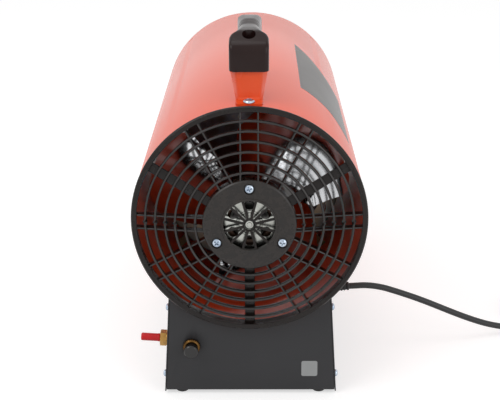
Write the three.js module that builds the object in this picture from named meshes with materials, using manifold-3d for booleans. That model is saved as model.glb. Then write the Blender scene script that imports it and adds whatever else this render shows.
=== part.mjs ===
// A gas-fired space heater: a fan at the intake end of a round drum blows air past a burner and out of the
// open hot end. Millimetres. Every shape is made about the drum's axis: X to the right, Y along the axis from
// the guard's rim towards the hot end, Z up. The group at the end moves the whole so that it stands on Z = 0.
import * as THREE from 'three';
import { mergeVertices } from 'three/addons/utils/BufferGeometryUtils.js';
import Module from 'manifold-3d';

const wasm = await Module();
wasm.setup();

// Clearances and counts of sides
const gap = 0.3; // between two pieces that touch
const overrun = 2; // of a cut past the face that it goes through
const weld = 1e-3; // corners nearer than this are one
const fineSides = 48;
const ringSides = 30;
const tubeSides = 36;
const middleSides = 24;
const smallSides = 16;
const tinySides = 8;

// Drum
const drumRadius = 109.4;
const drumWall = 1.2;
const drumLength = 469.1;
const axisHeight = 185.5; // of the drum's axis above the floor
const sheet = 1.2; // thickness of the base's sheet metal

// Fan guard
const rimProud = 0.6; // of the rim past the drum's outside
const rimWidth = 5.5;
const rimFlange = 2.6;
const rimRound = 1.2;
const collarDepth = 14;
const collarWall = 2;
const discRadius = 43.4;
const discProud = 9.7; // of the disc's face past the rim's
const discPlate = 2.6;
const discRound = 1;
const skirtDepth = 12;
const skirtWall = 1.8;
const openingRadius = 24;
const lipWidth = 2;
const lipProud = 0.9;
const hubRadius = 6.4;
const hubDepth = 3.5;
const spokeWidth = 2.4;
const spokeDepth = 3;
const spokeCount = 12;
const ringFromDisc = 6.6; // of the first ring's middle from the disc's edge
const ringFromRim = 8; // of the last ring's middle from the rim's bore
const ringCount = 6;
const ringWidth = 2.4;
const ringDepth = 4.6;
const ribThick = 1.8;
const ribDepth = 8.4;
const ribSet = 1.3; // of the ribs behind the rings' faces
const ribSpacing = 13;
const wideRibSpacing = 16.2; // of the three pairs in line with the motor's screws
const armWidth = 9.5;
const armThick = 2.4;

// Motor, its screws and the fan
const motorScrewCircle = 35;
const motorScrewHead = 4.4;
const motorScrewHeight = 2.3;
const motorScrewShank = 1.9;
const motorScrewLength = 12;
const recessRadius = 5;
const recessDepth = 2.4;
const bossRadius = 7.2;
const bossDepth = 7;
const shieldRadius = 40.5;
const shieldThick = 2;
const shieldVentCircle = 17.5;
const shieldVentRadius = 5;
const shieldVents = 6;
const cupRadius = 4.9;
const cupWall = 0.9;
const cupProud = 5.6;
const canRadius = 31.5;
const canWall = 1.2;
const canLength = 42;
const noseRadius = 9.2;
const noseLength = 7;
const noseWall = 1.2;
const shaftRadius = 2.5;
const shaftPastFan = 3;
const statorLength = 20;
const statorStart = 10;
const rotorRadius = 16;
const statorBore = 16.5;
const slotCount = 4;
const slotWidth = 7;
const windingDepth = 6;
const windingInner = 18;
const windingOuter = 27;
const fanStart = 55; // of the fan's hub, behind the rim's face
const fanHubRadius = 24;
const fanHubDepth = 26;
const fanHubWall = 2;
const fanBossRadius = 7;
const fanClearance = 9.2; // of the blades' tips from the drum's inside
const bladeCount = 3;
const bladeChord = 124;
const bladeThick = 1.6;
const bladeCamber = 5;
const bladeRootPitch = 40; // degrees
const bladeTipPitch = 22; // degrees
const bladeSweep = -24; // degrees, from the blade's root to its tip
const fanTurn = -52; // degrees, of the first blade at rest

// Combustion tube and burner
const coolingGap = 16.2; // between the drum's inside and the tube
const tubeWall = 1.2;
const tubeStart = 128;
const tubeSetback = 10; // of its hot end inside the drum's
const tabWidth = 7;
const tabThick = 1.6;
const tabSetback = 6; // of the tabs from the tube's hot end
const tabTurns = [45, 135, 225, 315]; // degrees
const tubeSlots = 6;
const tubeSlotWidth = 8;
const tubeSlotLength = 26;
const tubeSlotStart = 24;
const burnerRadius = 44;
const burnerDepth = 46;
const burnerWall = 1.2;
const burnerSetback = 22; // of the burner's closed end from the tube's cold end
const burnerSlots = 6;
const burnerSlotWidth = 8;
const burnerSlotLength = 24;
const strapWidth = 16;
const strapThick = 1.5;
const strapFlange = 10;
const strapPlateClearance = 10.8; // of the strap's round plate from the tube's inside
const nozzleRadius = 7;
const nozzleShoulder = 10;
const nozzleNeck = 5;
const nozzlePast = 10;
const jetRadius = 1.2;
const pipeRadius = 3;
const pipeRiseY = 118; // where the pipe and leads rise into the drum
const probeOffset = 55; // of the electrode and the thermocouple from the axis
const electrodeRadius = 3;
const electrodeBack = 12;
const electrodeLength = 28;
const electrodeWire = 1;
const electrodeTip = 26;
const leadRadius = 2.2;
const leadSides = 6;
const leadSteps = 26;
const leadHole = 14; // of the lead's and thermocouple's holes from the pipe's
const thermocoupleRadius = 1.6;
const thermocoupleTip = 48;
const thermostatRadius = 8;
const thermostatHeight = 8;
const thermostatY = 200;

// Handle
const handleMiddle = 76.5; // Y of the plane about which both halves are alike
const handleReach = 59.5; // from that plane to the face of each end block
const blockHalf = 18.1; // half width of the near end block
const farBlockHalf = 11.8; // half width of the far end block
const gripHalf = 10.4; // half width of the grip between them
const bracketRise = 27.9; // of the blocks' undersides above the drum
const blockEdgeRise = 23.6; // heights from here on are above the blocks' undersides
const blockTopRise = 34.1;
const gripTopRise = 35.3;
const gripBaseRise = 13.2;
const blockDepth = 24;
const blockRound = 2.2;
const slopeRun = 20;
const shoulderRun = 48; // from a block's face to where the grip is at its narrowest
const shoulderShares = [
  [0.26, 1], [0.34, 0.87], [0.425, 0.49], [0.6, 0.25], [0.81, 0.065], [1, 0],
]; // of that run, and of the way out to the block's half width
const gripScrewInset = 15.2;
const gripRecessRadius = 6.2;
const gripRecessRise = 12.7;
const gripScrewHead = 4.2;
const gripScrewHeight = 3;
const gripScrewShank = 2.2;
const bracketSheet = 1.5;
const legInset = 2.6; // of the leg's face behind the block's
const legTopHalf = 17.3;
const legFootHalf = 12.3;
const farLegHalf = 11;
const legTopSlant = 5.2; // of the leg's turned-back sides, over their depth
const legFootSlant = 2.3;
const legFlange = 8;
const footRun = 13; // of the foot from the leg's face towards the drum's end
const footScrewInset = 10; // of the foot's screw from the leg's face
const footScrewHead = 5.2;
const footScrewHeight = 2.8;
const footScrewShank = 2.4;
const footScrewLength = 6;

// Base
const trayStart = 12; // Y of its rear panel's face
const trayLength = 250;
const trayHalfTop = 77;
const trayTopDrop = 87.5; // below the axis, where that half width is measured
const trayHalfBottom = 82.75;
const footHeight = 4.3;
const flangeDepth = 14;
const sideDrop = 1.6; // of the side plates below the tray
const drumSeat = 0.5; // between the drum and the sheets cut to its curve
const sideScrewInset = 7.5;
const lowScrewHeight = 14.5;
const highScrewBelow = 16.58; // of the upper screws below the plate's corner
const sideScrewHead = 3.5;
const sideScrewHeight = 2.4;
const sideScrewShank = 1.7;
const sideScrewLength = 6;
const rubberRadius = 6.6;
const rubberTaper = 0.6;
const rubberNeck = 2.6;
const rubberHead = 4.4;
const rubberHeadHeight = 2;
const rubberX = 67.5;
const rubberInset = 9;

// Gas valve and inlet
const valveX = -57;
const valveShare = 0.33705; // of the way from the drum's underside down to the tray's
const valveHalf = 13;
const valveLength = 46;
const valveNeck = 7;
const valveBore = 5.5;
const valveBoreDepth = 12;
const nutRadius = 8.3; // of the brass collar
const nutThick = 3.8;
const nutRound = 0.8;
const buttonRadius = 6.9;
const buttonReach = 14.3; // of its face from the panel
const buttonCap = 5.3;
const buttonRound = 1;
const buttonStem = 5.2;
const buttonInside = 6;
const inletInset = 19.5; // of the inlet behind the rear panel
const inletBelowValve = 0.6;
const hexRadius = 8;
const hexLength = 6;
const washerRadius = 7.4;
const washerThick = 1.5;
const inletNeck = 5;
const inletNeckLength = 8.6;
const spigotRadius = 2.8;
const spigotLength = 14;
const capOuter = 4.1;
const capLength = 18.5;
const capBoreDepth = 15;

// Controls and cord entry on the right side plate
const portBelowDrum = 11.8;
const igniterY = 228;
const igniterFlange = 9;
const igniterBarrel = 7.5;
const igniterInside = 26;
const igniterBore = 5.6;
const igniterBoreDepth = 14;
const igniterButton = 5.3;
const igniterProud = 9;
const igniterButtonInside = 6;
const bezelThick = 2;
const switchY = 192;
const bezelHalfHeight = 10.5;
const bezelHalfWidth = 7.5;
const switchHalfHeight = 9.3;
const switchHalfWidth = 6.3;
const switchInside = 14;
const cavityHalfHeight = 8;
const cavityHalfWidth = 5;
const cavityDepth = 9;
const rockerHalfHeight = 7.3;
const rockerEndThick = 1.4;
const rockerDip = 1;
const rockerRoot = 4;
const rockerDepth = 6;
const rockerProud = 0.8;
const rockerPivotDepth = 3;
const rockerTilt = 8; // degrees, to each side
const reliefY = 125;
const reliefNeck = 6.2;
const reliefInside = 6;
const reliefFlange = 8.5;
const reliefFlangeThick = 2.5;
const reliefRoot = 6;
const reliefTip = 4.4;
const reliefLength = 20.5;

// Cord
const cordRadius = 3.3;
const cordSides = 8;
const cordStep = 2.5; // diameters
const cordLanding = 24; // of the cord's first touch of the floor from the coil's middle
const cordFallShares = [
  [0.0372, 0, 1.0061], [0.0749, 0.0079, 1.011], [0.1221, 0.0238, 0.9963], [0.174, 0.0476, 0.9573],
  [0.2307, 0.0714, 0.8921], [0.2873, 0.0952, 0.8205], [0.3439, 0.127, 0.7424], [0.4006, 0.1667, 0.6577],
  [0.4572, 0.2143, 0.5665], [0.5139, 0.2778, 0.4721], [0.5705, 0.3571, 0.3777], [0.6271, 0.4524, 0.2865],
  [0.6838, 0.5556, 0.2019], [0.7451, 0.6746, 0.1237], [0.8112, 0.7937, 0.0619], [0.882, 0.9127, 0.0195],
  [0.9528, 0.9802, 0], [1, 1, 0],
]; // of the way across and along from the exit to the landing, and of the exit's height
const coilX = 340;
const coilY = 195;
const coilOuter = 44.8;
const coilPitch = 7.4; // from turn to turn
const coilLayer = 7.3; // from layer to layer
const coilTurns = 2.375; // in each layer
const coilSteps = 24; // in each turn
const coilSides = 6;
const coilStart = -90; // degrees
const tailRun = 90.6;
const tieThick = 0.7;
const tieWidth = 7;
const tieTurn = 200; // degrees
const plugNeck = 6;
const plugNeckLength = 12;
const plugRadius = 18.5;
const plugLength = 40;
const plugOutlineShares = [[0.45, 0.53], [0.65, 0.72], [0.8, 0.8], [1, 1]]; // along and out
const pinRadius = 2.4;
const pinLength = 19;
const pinSpread = 9.5;

// Worked out from the sizes above
const drumStart = rimFlange + gap;
const drumEnd = drumStart + drumLength;
const drumInner = drumRadius - drumWall;
const collarRadius = drumInner - gap;
const rimRadius = drumRadius + rimProud;
const rimBore = rimRadius - rimWidth;
const firstRing = discRadius + ringFromDisc;
const ringPitch = (rimBore - ringFromRim - firstRing) / (ringCount - 1);
const fanRadius = drumInner - fanClearance;
const tubeRadius = drumInner - coolingGap;
const trayDrop = axisHeight - footHeight;
const trayEnd = trayStart + trayLength;
const sideTilt = Math.atan2(trayHalfBottom - trayHalfTop, trayDrop - trayTopDrop);
const cornerDrop = Math.sqrt((drumRadius + drumSeat) ** 2 - trayHalfTop ** 2); // where sheets meet the drum
const sheetTop = cornerDrop - drumRadius / 6; // below the axis, before the drum's curve is cut
const sideRise = (trayDrop - sheetTop) / Math.cos(sideTilt);
const sideScrewHeights = [lowScrewHeight, trayDrop - cornerDrop - highScrewBelow];
const valveDrop = drumRadius + valveShare * (trayDrop - drumRadius);
const inletHeight = trayDrop - valveDrop - inletBelowValve;
const portHeight = trayDrop - drumRadius - portBelowDrum;
const shieldStart = bossDepth - discProud + gap;
const shieldEnd = shieldStart + shieldThick;
const canStart = shieldEnd + gap;
const canEnd = canStart + canLength;
const noseEnd = canEnd + noseLength;
const fanEnd = fanStart + fanHubDepth;
const tubeEnd = drumEnd - tubeSetback;
const tubeInner = tubeRadius - tubeWall;
const tabY = tubeEnd - tabSetback;
const burnerStart = tubeStart + burnerSetback;
const strapEnd = burnerStart - gap;
const strapStart = strapEnd - strapThick;
const nozzleStart = strapStart - gap - nozzleShoulder;
const blockFace = handleMiddle - handleReach;
const legFace = blockFace + legInset;
const bracketFoot = drumRadius + gap;
const blockBase = drumRadius + bracketRise;
const blockEdge = blockBase + blockEdgeRise;
const blockTop = blockBase + blockTopRise;
const gripTop = blockBase + gripTopRise;
const gripBase = blockBase + gripBaseRise;
const gripRecessFloor = blockBase + gripRecessRise;
const bracketTop = blockBase - gap;
const valveStart = trayStart + sheet + gap;
const valveEnd = valveStart + valveLength;
const nutEnd = trayStart - gap;
const nutStart = nutEnd - nutThick;
const outside = gap + sheet; // of the side plates' outer faces, from the tray's edge
const onSide = outside + gap; // where a piece that sits on a side plate starts
const middleY = (drumEnd - discProud - lipProud) / 2;

const radians = THREE.MathUtils.degToRad;
const shift = (x, y, z) => new THREE.Matrix4().makeTranslation(x, y, z);
const turnX = angle => new THREE.Matrix4().makeRotationX(angle);
const turnZ = angle => new THREE.Matrix4().makeRotationZ(angle);

// A closed lathe shape about the Y axis from [radius, y] corners, given anticlockwise.
function turned(profile, sides = fineSides) {
  const corners = profile.map(([radius, along]) => new THREE.Vector2(radius, along));
  corners.push(corners[0].clone());
  return new THREE.LatheGeometry(corners, sides);
}

// A flat outline in the plane 'xy', 'xz' or 'yz', given thickness along the third axis between two places.
function plate(plane, outline, from, to) {
  const shape = new THREE.Shape(outline.map(([u, v]) => new THREE.Vector2(u, v)));
  const geometry = new THREE.ExtrudeGeometry(shape, { depth: 1, bevelEnabled: false });
  const ends = plane === 'xz' ? [-to, -from] : [from, to];
  const places = geometry.getAttribute('position');
  for (let i = 0; i < places.count; i += 1) places.setZ(i, ends[places.getZ(i)]);
  if (plane === 'xz') geometry.rotateX(Math.PI / 2);
  if (plane === 'yz') geometry.rotateX(Math.PI / 2).rotateZ(Math.PI / 2);
  return geometry;
}

// A round bar along 'x', 'y' or 'z' between two places, centred on the two other coordinates.
function bar(axis, radius, from, to, [a, b] = [0, 0], sides = smallSides) {
  const geometry = new THREE.CylinderGeometry(radius, radius, 1, sides);
  const places = geometry.getAttribute('position');
  for (let i = 0; i < places.count; i += 1) places.setY(i, places.getY(i) < 0 ? from : to);
  if (axis === 'x') return geometry.rotateZ(-Math.PI / 2).translate(0, a, b);
  if (axis === 'z') return geometry.rotateX(Math.PI / 2).translate(a, b, 0);
  return geometry.translate(a, 0, b);
}

// A box between two corners.
function block(low, high) {
  const geometry = new THREE.BoxGeometry(1, 1, 1);
  const places = geometry.getAttribute('position');
  places.array.forEach((value, i) => {
    places.array[i] = (value < 0 ? low : high)[i % 3];
  });
  return geometry;
}

// A box whose half width differs at its four edges along X: a pair for the bottom and a pair for the top,
// each at the first and at the second place along Y.
function wedge(ys, zs, halves) {
  const geometry = new THREE.BoxGeometry(1, 1, 1);
  const places = geometry.getAttribute('position');
  for (let i = 0; i < places.count; i += 1) {
    const [along, up] = [places.getY(i) > 0 ? 1 : 0, places.getZ(i) > 0 ? 1 : 0];
    places.setXYZ(i, Math.sign(places.getX(i)) * halves[up][along], ys[along], zs[up]);
  }
  return geometry;
}

// A slot with round ends, along Y, that goes through a wall of the given radius at the given turn about Y.
function radialSlot(width, from, to, inner, outer, turn) {
  const half = width / 2;
  const outline = [];
  for (const [centre, start] of [[to - half, 0], [from + half, Math.PI]]) {
    for (let i = 0; i <= roundEnd; i += 1) {
      const angle = start + (Math.PI * i) / roundEnd;
      outline.push([half * Math.cos(angle), centre + half * Math.sin(angle)]);
    }
  }
  return plate('xy', outline, inner, outer).rotateY(turn);
}
const roundEnd = 3; // steps of a slot's round end

// A round tube along a smooth curve through points.
function tubeAlong(points, radius, sides, steps) {
  const curve = new THREE.CatmullRomCurve3(points, false, 'centripetal');
  const section = new THREE.Shape();
  for (let i = 0; i < sides; i += 1) {
    const angle = (2 * Math.PI * (i + 0.5)) / sides;
    const corner = [radius * Math.cos(angle), radius * Math.sin(angle)];
    if (i) section.lineTo(...corner);
    else section.moveTo(...corner);
  }
  return new THREE.ExtrudeGeometry(section, { steps, bevelEnabled: false, extrudePath: curve });
}

// The solid of a closed geometry, and the geometry of a solid.
function solid(geometry) {
  const bare = new THREE.BufferGeometry();
  bare.setAttribute('position', geometry.getAttribute('position').clone());
  if (geometry.index) bare.setIndex(geometry.index.clone());
  const merged = mergeVertices(bare, weld);
  const corners = merged.index.array;
  const kept = [];
  for (let i = 0; i < corners.length; i += 3) {
    const [a, b, c] = corners.subarray(i, i + 3);
    if (a !== b && b !== c && c !== a) kept.push(a, b, c);
  }
  return new wasm.Manifold(new wasm.Mesh({
    numProp: 3,
    vertProperties: merged.getAttribute('position').array,
    triVerts: new Uint32Array(kept),
  }));
}

function geometryOf(body) {
  const mesh = body.getMesh();
  const geometry = new THREE.BufferGeometry();
  geometry.setAttribute('position', new THREE.BufferAttribute(Float32Array.from(mesh.vertProperties), 3));
  geometry.setIndex(new THREE.BufferAttribute(Uint32Array.from(mesh.triVerts), 1));
  geometry.computeVertexNormals();
  return geometry;
}

const joined = (...geometries) => geometries.map(solid).reduce((whole, next) => whole.add(next));
const cut = (body, ...geometries) => geometries.map(solid).reduce((left, next) => left.subtract(next), body);

// A pan-head screw: its head's underside at the origin, the shank towards +Y and the head towards -Y.
function screw(head, height, shank, length) {
  const crown = head / 2;
  return solid(turned([
    [0, -height], [crown, -height], [head, -height / 2], [head, 0], [shank, 0], [shank, length],
    [0, length],
  ], tinySides));
}

// The finishes
const finish = (color, roughness, metalness) => (
  new THREE.MeshStandardMaterial({ color, roughness, metalness })
);
const orangePaint = () => finish(0xe2522c, 0.25, 0);
const blackPlastic = () => finish(0x3e3835, 0.42, 0);
const glossBlack = () => finish(0x1c1a1a, 0.2, 0);
const darkPaint = () => finish(0x38383b, 0.45, 0);
const zinc = () => finish(0xc4ccd4, 0.3, 1);
const brass = () => finish(0xc89650, 0.3, 1);
const brightSteel = () => finish(0xb4b2ae, 0.35, 1);
const aluminium = () => finish(0xb9bcc0, 0.35, 1);
const copper = () => finish(0xb06a3c, 0.35, 1);
const rubber = () => finish(0x1a1a1b, 0.8, 0);
const redPlastic = () => finish(0xbe1e28, 0.4, 0);
const ceramic = () => finish(0xe8e2d6, 0.4, 0);

const heater = new THREE.Group();

// Adds a named piece; a body is a solid, and a placed one gets a group's place.
function add(name, body, material, place) {
  const mesh = new THREE.Mesh(geometryOf(body), material);
  mesh.name = name;
  if (place) mesh.applyMatrix4(place);
  heater.add(mesh);
}

// Places on the leaning side plates. Out is square to the plate, along is Y, and height climbs the plate.
const sideMatrix = side => {
  const out = new THREE.Vector3(side * Math.cos(sideTilt), 0, Math.sin(sideTilt));
  const along = new THREE.Vector3(0, side, 0);
  const up = new THREE.Vector3(-side * Math.sin(sideTilt), 0, Math.cos(sideTilt));
  return new THREE.Matrix4().makeBasis(out, along, up).setPosition(side * trayHalfBottom, 0, -trayDrop);
};
const onPlate = (side, y, height) => sideMatrix(side).multiply(
  shift(0, side * y, height).multiply(turnZ(-Math.PI / 2)),
);
const placed = (geometry, matrix) => geometry.applyMatrix4(matrix);

// Drum shell
function drumShell() {
  const wall = solid(turned([
    [drumRadius, drumStart], [drumRadius, drumEnd], [drumInner, drumEnd], [drumInner, drumStart],
  ]));
  const slots = tabTurns.map(turn => block(
    [-tabWidth / 2 - 1.5 * gap, tabY - 2 * gap, drumInner - overrun],
    [tabWidth / 2 + 1.5 * gap, tabY + tabThick + 2 * gap, drumRadius + overrun],
  ).rotateY(radians(turn)));
  const under = [-drumRadius - overrun, -drumInner + overrun];
  const over = [drumInner - overrun, drumRadius + overrun];
  const risers = [
    bar('z', pipeRadius + 3 * gap, ...under, [0, pipeRiseY], tinySides),
    bar('z', leadRadius + 3 * gap, ...under, [leadHole, pipeRiseY], tinySides),
    bar('z', thermocoupleRadius + 3 * gap, ...under, [-leadHole, pipeRiseY], tinySides),
  ];
  const footHoles = [1, -1].map(way => (
    bar('z', footScrewShank + gap, ...over, [0, footScrewY(way)], tinySides)
  ));
  return cut(wall, ...slots, ...risers, ...footHoles);
}

// Y of a handle bracket's foot screw: way is 1 at the intake end and -1 at the hot end.
function footScrewY(way) {
  return handleMiddle - way * (handleMiddle - legFace + footScrewInset);
}

// Fan guard
const guardProud = radius => (discProud * (rimBore - radius)) / (rimBore - discRadius);

function guardRing(radius) {
  const face = -guardProud(radius);
  const half = ringWidth / 2;
  return turned([
    [radius - half, face], [radius + half, face], [radius + half, face + ringDepth],
    [radius - half, face + ringDepth],
  ], ringSides);
}

// A bar from the disc's skirt to the collar, set back from the rings' faces, at a turn about the axis.
function guardRib(thick, offset, back, depth, turn) {
  const inner = discRadius - skirtWall / 2;
  const outer = collarRadius - collarWall / 2;
  const outline = [
    [inner, back - guardProud(inner)],
    [outer, back],
    [outer, back + depth],
    [inner, back + depth - guardProud(inner)],
  ];
  return plate('xy', outline, offset - thick / 2, offset + thick / 2).rotateY(-radians(turn));
}

function fanGuard() {
  const rim = turned([
    [rimBore, 0], [rimRadius - rimRound, 0], [rimRadius, rimRound], [rimRadius, rimFlange],
    [collarRadius, rimFlange], [collarRadius, collarDepth], [collarRadius - collarWall, collarDepth],
  ]);
  const face = -discProud;
  const lip = openingRadius + lipWidth;
  const disc = turned([
    [openingRadius, face - lipProud], [lip, face - lipProud], [lip, face], [discRadius - discRound, face],
    [discRadius, face + discRound], [discRadius, face + skirtDepth],
    [discRadius - skirtWall, face + skirtDepth],
    [discRadius - skirtWall, face + discPlate], [openingRadius, face + discPlate],
  ], ringSides);
  const hub = turned([
    [cupRadius + gap, face], [hubRadius, face], [hubRadius, face + hubDepth],
    [cupRadius + gap, face + hubDepth],
  ], smallSides);
  const parts = [rim, disc, hub];
  for (let i = 0; i < spokeCount; i += 1) {
    const inner = (cupRadius + gap + hubRadius) / 2;
    const spoke = block([inner, face + gap, -spokeWidth / 2], [lip - gap, face + spokeDepth, spokeWidth / 2]);
    parts.push(spoke.rotateY((2 * Math.PI * (i + 0.5)) / spokeCount));
  }
  for (let i = 0; i < ringCount; i += 1) parts.push(guardRing(firstRing + i * ringPitch));
  for (let turn = 0; turn < 360; turn += 30) {
    const arm = turn % 120 === 30;
    const spacing = turn % 120 === 90 ? wideRibSpacing : ribSpacing;
    if (arm) parts.push(guardRib(armWidth, 0, ringDepth - gap, armThick, turn));
    for (const side of arm ? [] : [-spacing / 2, spacing / 2]) {
      parts.push(guardRib(ribThick, side, ribSet, ribDepth, turn));
    }
  }
  for (const centre of motorScrewPlaces()) {
    parts.push(bar('y', bossRadius, face + discPlate / 2, face + bossDepth, centre, tinySides));
  }
  const recesses = motorScrewPlaces().flatMap(centre => [
    bar('y', recessRadius, face - overrun, face + recessDepth, centre),
    bar('y', motorScrewShank + gap, face, face + bossDepth + overrun, centre, tinySides),
  ]);
  const hole = footScrewShank + gap;
  const footHole = bar('z', hole, rimBore, rimRadius + overrun, [0, footScrewY(1)], tinySides);
  return cut(joined(...parts), ...recesses, footHole);
}

// [x, z] of the three screws that hold the motor
function motorScrewPlaces() {
  return [90, 210, 330].map(turn => {
    const angle = radians(turn);
    return [motorScrewCircle * Math.cos(angle), motorScrewCircle * Math.sin(angle)];
  });
}

// Motor
function motorShield() {
  const cupStart = shieldStart - cupProud;
  const profile = [
    [cupRadius - cupWall, cupStart + cupWall], [0, cupStart + cupWall], [0, cupStart],
    [cupRadius, cupStart],
    [cupRadius, shieldStart], [shieldRadius, shieldStart], [shieldRadius, shieldEnd],
    [cupRadius - cupWall, shieldEnd],
  ];
  const vents = [];
  for (let i = 0; i < shieldVents; i += 1) {
    const angle = (2 * Math.PI * (i + 0.5)) / shieldVents;
    const centre = [shieldVentCircle * Math.cos(angle), shieldVentCircle * Math.sin(angle)];
    vents.push(bar('y', shieldVentRadius, shieldStart - overrun, shieldEnd + overrun, centre, tinySides));
  }
  const holes = motorScrewPlaces().map(centre => (
    bar('y', motorScrewShank + gap, shieldStart - overrun, shieldEnd + overrun, centre, tinySides)
  ));
  return cut(solid(turned(profile, smallSides)), ...vents, ...holes);
}

function motorCan() {
  const pocket = noseRadius - noseWall;
  const bore = shaftRadius + gap;
  return solid(turned([
    [canRadius, canStart], [canRadius, canEnd], [noseRadius, canEnd], [noseRadius, noseEnd],
    [bore, noseEnd],
    [bore, noseEnd - noseWall], [pocket, noseEnd - noseWall], [pocket, canEnd - canWall],
    [canRadius - canWall, canEnd - canWall], [canRadius - canWall, canStart],
  ], smallSides));
}

// The four openings in the stator that the windings pass through, shrunk by a clearance.
const windingSlots = clearance => Array.from({ length: slotCount }, (_, i) => block(
  [windingInner + 2 * gap + clearance, statorStart - windingDepth / 2, -slotWidth / 2 + clearance],
  [
    windingOuter - 2 * gap - clearance,
    statorStart + statorLength + windingDepth / 2,
    slotWidth / 2 - clearance,
  ],
).rotateY((2 * Math.PI * i) / slotCount));

function motorStator() {
  const outer = canRadius - canWall - gap;
  const end = statorStart + statorLength;
  const corners = [[outer, statorStart], [outer, end], [statorBore, end], [statorBore, statorStart]];
  const stack = turned(corners, smallSides);
  return cut(solid(stack), ...windingSlots(0));
}

function motorWindings() {
  const ends = [statorStart - gap - windingDepth, statorStart + statorLength + gap].map(start => turned([
    [windingInner, start], [windingOuter, start], [windingOuter, start + windingDepth],
    [windingInner, start + windingDepth],
  ], smallSides));
  return joined(...ends, ...windingSlots(gap));
}

function motorRotor() {
  const bore = shaftRadius + gap;
  const [start, end] = [statorStart, statorStart + statorLength];
  return solid(turned([[rotorRadius, start], [rotorRadius, end], [bore, end], [bore, start]], smallSides));
}

function bush(outer, start, end) {
  const bore = shaftRadius + gap;
  return solid(turned([[outer, start], [outer, end], [bore, end], [bore, start]], smallSides));
}

const shaftStart = () => shieldStart - cupProud + cupWall + gap;

function fan() {
  const bore = shaftRadius + gap;
  const wallStart = fanEnd - fanHubWall;
  const hub = turned([
    [bore, fanStart], [fanBossRadius, fanStart], [fanBossRadius, wallStart],
    [fanHubRadius - fanHubWall, wallStart],
    [fanHubRadius - fanHubWall, fanStart], [fanHubRadius, fanStart], [fanHubRadius, fanEnd], [bore, fanEnd],
  ], smallSides);
  const blades = [];
  for (let i = 0; i < bladeCount; i += 1) {
    blades.push(fanBlade().rotateY(radians(fanTurn) + (2 * Math.PI * i) / bladeCount));
  }
  return joined(hub, ...blades);
}

// One blade: a thin box bent round the axis, twisted from root to tip and hollowed on its pressure side.
function fanBlade() {
  const root = fanHubRadius - fanHubWall / 2;
  const span = fanRadius - root;
  const geometry = new THREE.BoxGeometry(span, bladeThick, bladeChord, bladeSteps, 1, bladeSteps);
  const places = geometry.getAttribute('position');
  for (let i = 0; i < places.count; i += 1) {
    const share = places.getX(i) / span + 0.5;
    const radius = root + share * span;
    const across = places.getZ(i) / bladeChord;
    const grown = Math.min(1, share / rootShare);
    const chord = bladeChord * (rootChordShare + (1 - rootChordShare) * grown);
    const pitch = radians(bladeRootPitch + share * (bladeTipPitch - bladeRootPitch));
    const hollow = places.getY(i) - bladeCamber * (1 - 4 * across * across);
    const sideways = across * chord * Math.cos(pitch) - hollow * Math.sin(pitch);
    const along = across * chord * Math.sin(pitch) + hollow * Math.cos(pitch);
    const angle = sideways / radius + radians(bladeSweep * (share - 0.5));
    places.setXYZ(i, radius * Math.cos(angle), (fanStart + fanEnd) / 2 + along, radius * Math.sin(angle));
  }
  return geometry;
}
const bladeSteps = 4;
const rootShare = 0.5; // of the span over which the chord grows from the hub
const rootChordShare = 0.45; // of the blade's width at its tip

// Combustion tube and burner
function combustionTube() {
  const ends = [[tubeRadius, tubeStart], [tubeRadius, tubeEnd], [tubeInner, tubeEnd], [tubeInner, tubeStart]];
  const wall = turned(ends, tubeSides);
  const parts = [wall];
  for (const turn of tabTurns) {
    const angle = radians(turn);
    const root = tubeInner + tubeWall / 3;
    for (const [start, stop] of [[tabY, drumRadius], [tubeStart + tabSetback, collarRadius - gap]]) {
      const tab = block([-tabWidth / 2, start, root], [tabWidth / 2, start + tabThick, stop]);
      parts.push(tab.rotateY(angle));
    }
  }
  const slots = [];
  const from = tubeStart + tubeSlotStart;
  const through = [from, from + tubeSlotLength, tubeInner - overrun, tubeRadius + overrun];
  for (let i = 0; i < tubeSlots; i += 1) {
    slots.push(radialSlot(tubeSlotWidth, ...through, (2 * Math.PI * i) / tubeSlots));
  }
  return cut(joined(...parts), ...slots);
}

function burnerCup() {
  const bore = nozzleNeck + gap;
  const end = burnerStart + burnerDepth;
  const floor = burnerStart + burnerWall;
  const inner = burnerRadius - burnerWall;
  const cup = solid(turned([
    [bore, burnerStart], [burnerRadius, burnerStart], [burnerRadius, end], [inner, end],
    [inner, floor], [bore, floor],
  ], middleSides));
  const slots = [];
  const from = (burnerStart + end - burnerSlotLength) / 2;
  const through = [from, from + burnerSlotLength, inner - overrun, burnerRadius + overrun];
  for (let i = 0; i < burnerSlots; i += 1) {
    slots.push(radialSlot(burnerSlotWidth, ...through, (2 * Math.PI * i) / burnerSlots));
  }
  return cut(cup, ...slots);
}

// A flat strap across the tube with a flange at each side, and a round plate at its middle that holds the cup
// and turns the air outwards.
function burnerStrap() {
  const half = strapWidth / 2;
  const facet = tubeInner * Math.cos(Math.PI / tubeSides);
  const reach = Math.sqrt(facet ** 2 - half ** 2) - gap;
  const parts = [
    block([-reach, strapStart, -half], [reach, strapEnd, half]),
    bar('y', tubeInner - strapPlateClearance, strapStart, strapEnd, [0, 0], middleSides),
  ];
  for (const side of [-1, 1]) {
    const edges = [side * reach, side * (reach - strapThick)].sort((a, b) => a - b);
    parts.push(block([edges[0], strapStart, -half], [edges[1], strapEnd + strapFlange, half]));
  }
  const through = [strapStart - overrun, strapEnd + overrun];
  return cut(
    joined(...parts),
    bar('y', nozzleNeck + gap, ...through, [0, 0]),
    bar('y', electrodeRadius + gap, ...through, [probeOffset, 0], tinySides),
    bar('y', thermocoupleRadius + 2 * gap, ...through, [-probeOffset, 0], tinySides),
  );
}

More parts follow.
